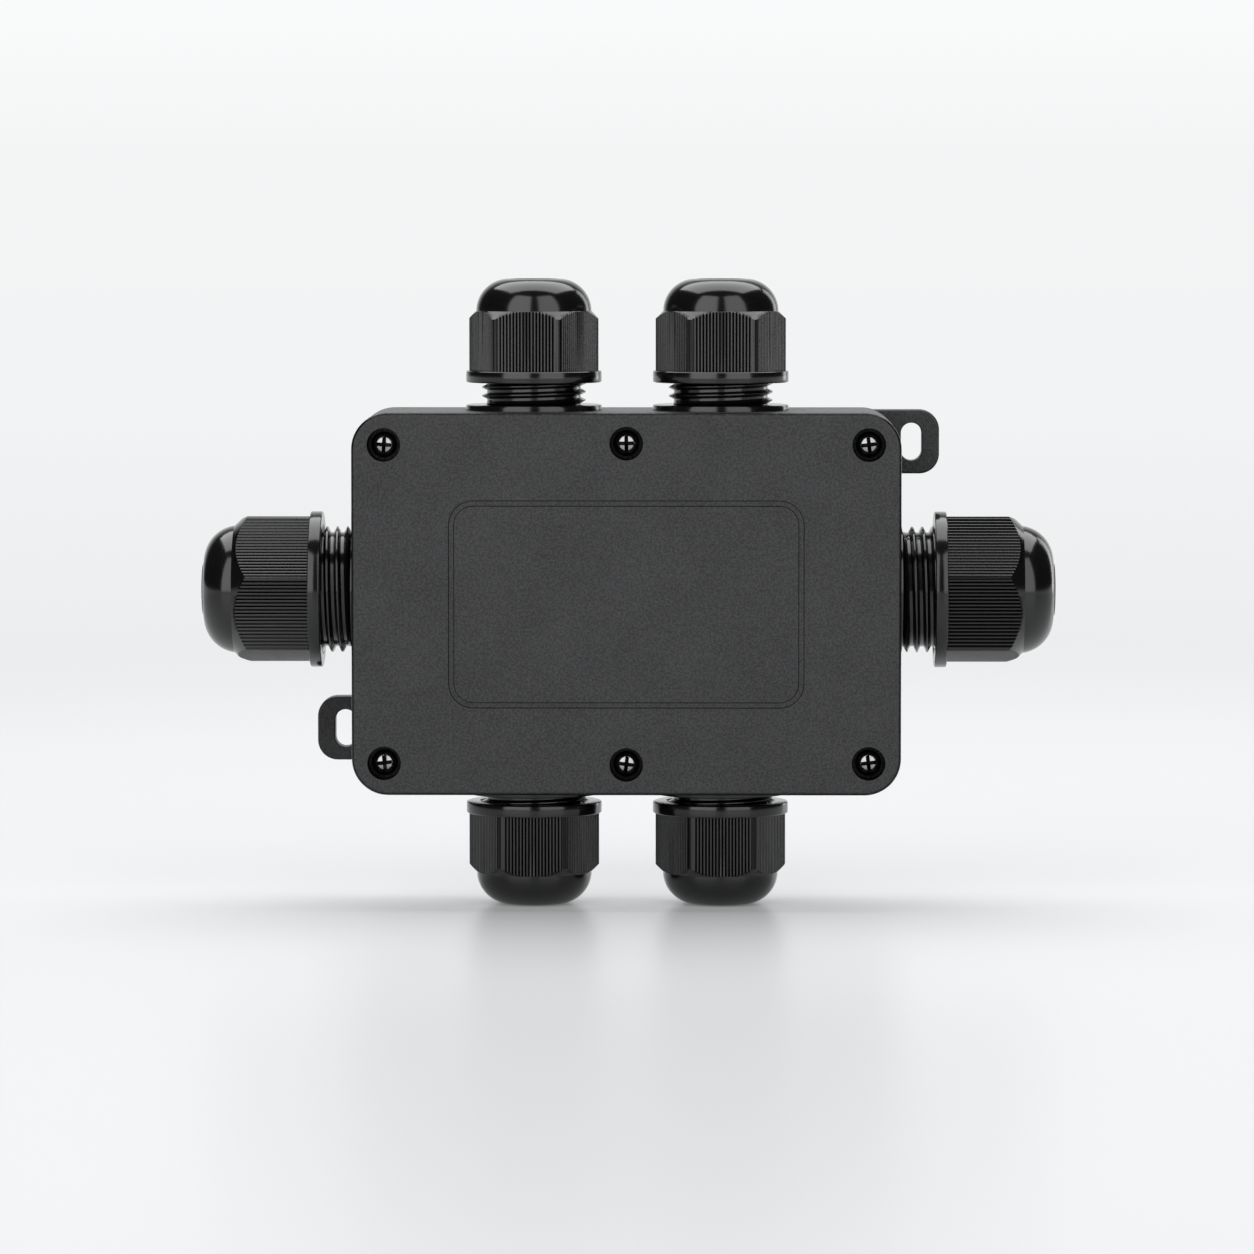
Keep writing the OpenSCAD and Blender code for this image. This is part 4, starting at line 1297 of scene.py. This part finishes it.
@dataclass(frozen=True)
class Lamp:
    """One soft lamp that looks at the object, in degrees, metres and watts.

    The azimuth runs from 0 in front to 90 on the right. An upright lamp doesn't lean towards the object.
    """

    name: str
    azimuth: float
    elevation: float
    distance: float
    size: Point
    power: float
    upright: bool = False


LAMPS = (
    Lamp("left_softbox", -29, 37, 1.63, (1.1, 2.0), 17.5, upright=True),
    Lamp("right_softbox", 31, 37, 1.63, (1.0, 2.0), 13.8, upright=True),
    Lamp("overhead_softbox", 180, 72, 1.3, (1.8, 1.35), 27.5),
    Lamp("right_rim_light", 138, 14, 1.2, (0.25, 0.9), 1.6),
)


@dataclass
class Studio:
    """The camera, the lamps, the pale floor and the white surroundings."""

    floor_z: float = -0.0675
    camera_x: float = 0.0175
    camera_y: float = -1.538
    camera_z: float = 0.0936
    tilt_deg: float = 3.756
    pan_deg: float = -0.662
    lens_mm: float = 197.9
    horizon: float = 0.905
    zenith: float = 0.965
    near_floor: float = 0.86
    floor_reach: float = 8.0
    floor_roughness: float = 0.32

    def add_camera(self) -> None:
        """Sets the camera to the photograph's viewing angle."""
        camera = bpy.data.cameras.new("camera")
        camera.lens = self.lens_mm
        camera.sensor_width = 36
        camera.sensor_fit = "HORIZONTAL"
        camera.clip_end = 30
        holder = bpy.data.objects.new("camera", camera)
        holder.location = (self.camera_x, self.camera_y, self.camera_z)
        holder.rotation_euler = (math.radians(90 - self.tilt_deg), 0, math.radians(-self.pan_deg))
        bpy.context.scene.collection.objects.link(holder)
        bpy.context.scene.camera = holder

    def add_lamp(self, lamp: Lamp) -> None:
        """Adds one soft lamp."""
        light = bpy.data.lights.new(lamp.name, "AREA")
        light.shape = "RECTANGLE"
        light.size, light.size_y = lamp.size
        light.energy = lamp.power
        holder = bpy.data.objects.new(lamp.name, light)
        a, e = math.radians(lamp.azimuth), math.radians(lamp.elevation)
        direction = Vector((math.sin(a) * math.cos(e), -math.cos(a) * math.cos(e), math.sin(e)))
        holder.location = direction * lamp.distance
        facing = Vector((direction.x, direction.y, 0)).normalized() if lamp.upright else direction
        holder.rotation_euler = facing.to_track_quat("Z", "Y").to_euler()
        bpy.context.scene.collection.objects.link(holder)

    def add_world(self) -> None:
        """Lights the scene softly, bright behind the object and dark in front of it.

        The camera sees a white backdrop all round. Diffuse rays get only a share of the light from behind.
        """
        world = bpy.data.worlds.new("studio")
        bpy.context.scene.world = world
        world.use_nodes = True
        bench = NodeBench(world.node_tree)
        shade = world.node_tree.nodes["Background"]
        place = bench.add("ShaderNodeSeparateXYZ", {0: bench.add("ShaderNodeTexCoord").outputs["Generated"]})
        behind = bench.add("ShaderNodeMapRange", {"Value": place.outputs[1], 1: 0.7, 2: 0.97, 3: 0.03, 4: 0.95},
                           interpolation_type="SMOOTHSTEP")
        path = bench.add("ShaderNodeLightPath")
        seen = bench.add("ShaderNodeMapRange", {"Value": place.outputs[2], 1: 0.0, 2: 0.024, 3: self.horizon,
                                                4: self.zenith})
        fill = bench.wire(behind) * 0.3
        lit = bench.blend(behind.outputs[0], fill, path.outputs["Is Diffuse Ray"])
        strength = bench.blend(lit, seen.outputs[0], path.outputs["Is Camera Ray"])
        colour = bench.add("ShaderNodeCombineColor", {0: strength * 0.985, 1: strength * 0.995, 2: strength})
        bench.feed(shade.inputs["Color"], colour.outputs[0])

    def add_floor(self) -> None:
        """Adds the pale floor, which fades into the surroundings far from the object.

        Camera, glossy and transmission rays see it at its full tone, and diffuse rays darker, so that it adds
        little light to the object.
        """
        mesh = bpy.data.meshes.new("floor")
        reach = self.floor_reach
        mesh.from_pydata([(-reach, -reach, self.floor_z), (reach, -reach, self.floor_z), (reach, reach, self.floor_z),
                          (-reach, reach, self.floor_z)], [], [(0, 1, 2, 3)])
        floor = new_piece("floor", mesh)
        material = bpy.data.materials.new("Pale floor")
        material.use_nodes = True
        bench = NodeBench(material.node_tree)
        nodes = material.node_tree.nodes
        shader = nodes["Principled BSDF"]
        shader.inputs["Roughness"].default_value = self.floor_roughness
        path = bench.add("ShaderNodeLightPath")
        seen = bench.math("MINIMUM", bench.wire(path, "Is Camera Ray") + bench.wire(path, "Is Glossy Ray")
                          + bench.wire(path, "Is Transmission Ray"), 1.0)
        base = bench.add("ShaderNodeMix", {0: seen, 6: (0.3, 0.303, 0.309, 1), 7: (0.64, 0.65, 0.66, 1)},
                         data_type="RGBA")
        bench.feed(shader.inputs["Base Color"], base.outputs[2])
        place = bench.add("ShaderNodeTexCoord").outputs["Object"]
        distance = bench.add("ShaderNodeVectorMath", {0: place}, operation="LENGTH")
        far = bench.add("ShaderNodeMapRange", {"Value": distance.outputs["Value"], 1: 0.25, 2: 1.1},
                        interpolation_type="SMOOTHSTEP")
        tone = bench.wire(bench.add("ShaderNodeMapRange", {"Value": distance.outputs["Value"], 1: 0.6, 2: 3.0,
                                                           3: self.near_floor, 4: self.horizon}))
        tone = tone * (seen * 0.5 + 0.5)
        colour = bench.add("ShaderNodeCombineColor", {0: tone * 0.98, 1: tone * 0.992, 2: tone})
        glow = bench.add("ShaderNodeEmission", {"Color": colour.outputs[0]})
        share = bench.math("MAXIMUM", bench.wire(far), seen * 0.15)
        mix = bench.add("ShaderNodeMixShader", {0: share, 1: shader.outputs[0], 2: glow.outputs[0]})
        bench.feed(nodes["Material Output"].inputs["Surface"], mix.outputs[0])
        floor.data.materials.append(material)

    def build(self) -> None:
        """Builds the whole studio."""
        bpy.context.scene.view_settings.view_transform = "Standard"
        self.add_camera()
        self.add_world()
        self.add_floor()
        for lamp in LAMPS:
            self.add_lamp(lamp)


def main() -> None:
    """Builds the dressed junction box and its studio."""
    logging.basicConfig(level=logging.INFO, format="%(message)s")
    Studio().build()
    workshop = Workshop()
    Shell(workshop).build()
    Glands(workshop).build()
    LidScrews(workshop).build()
    Fittings(workshop).build()


if __name__ == "__main__":
    main()
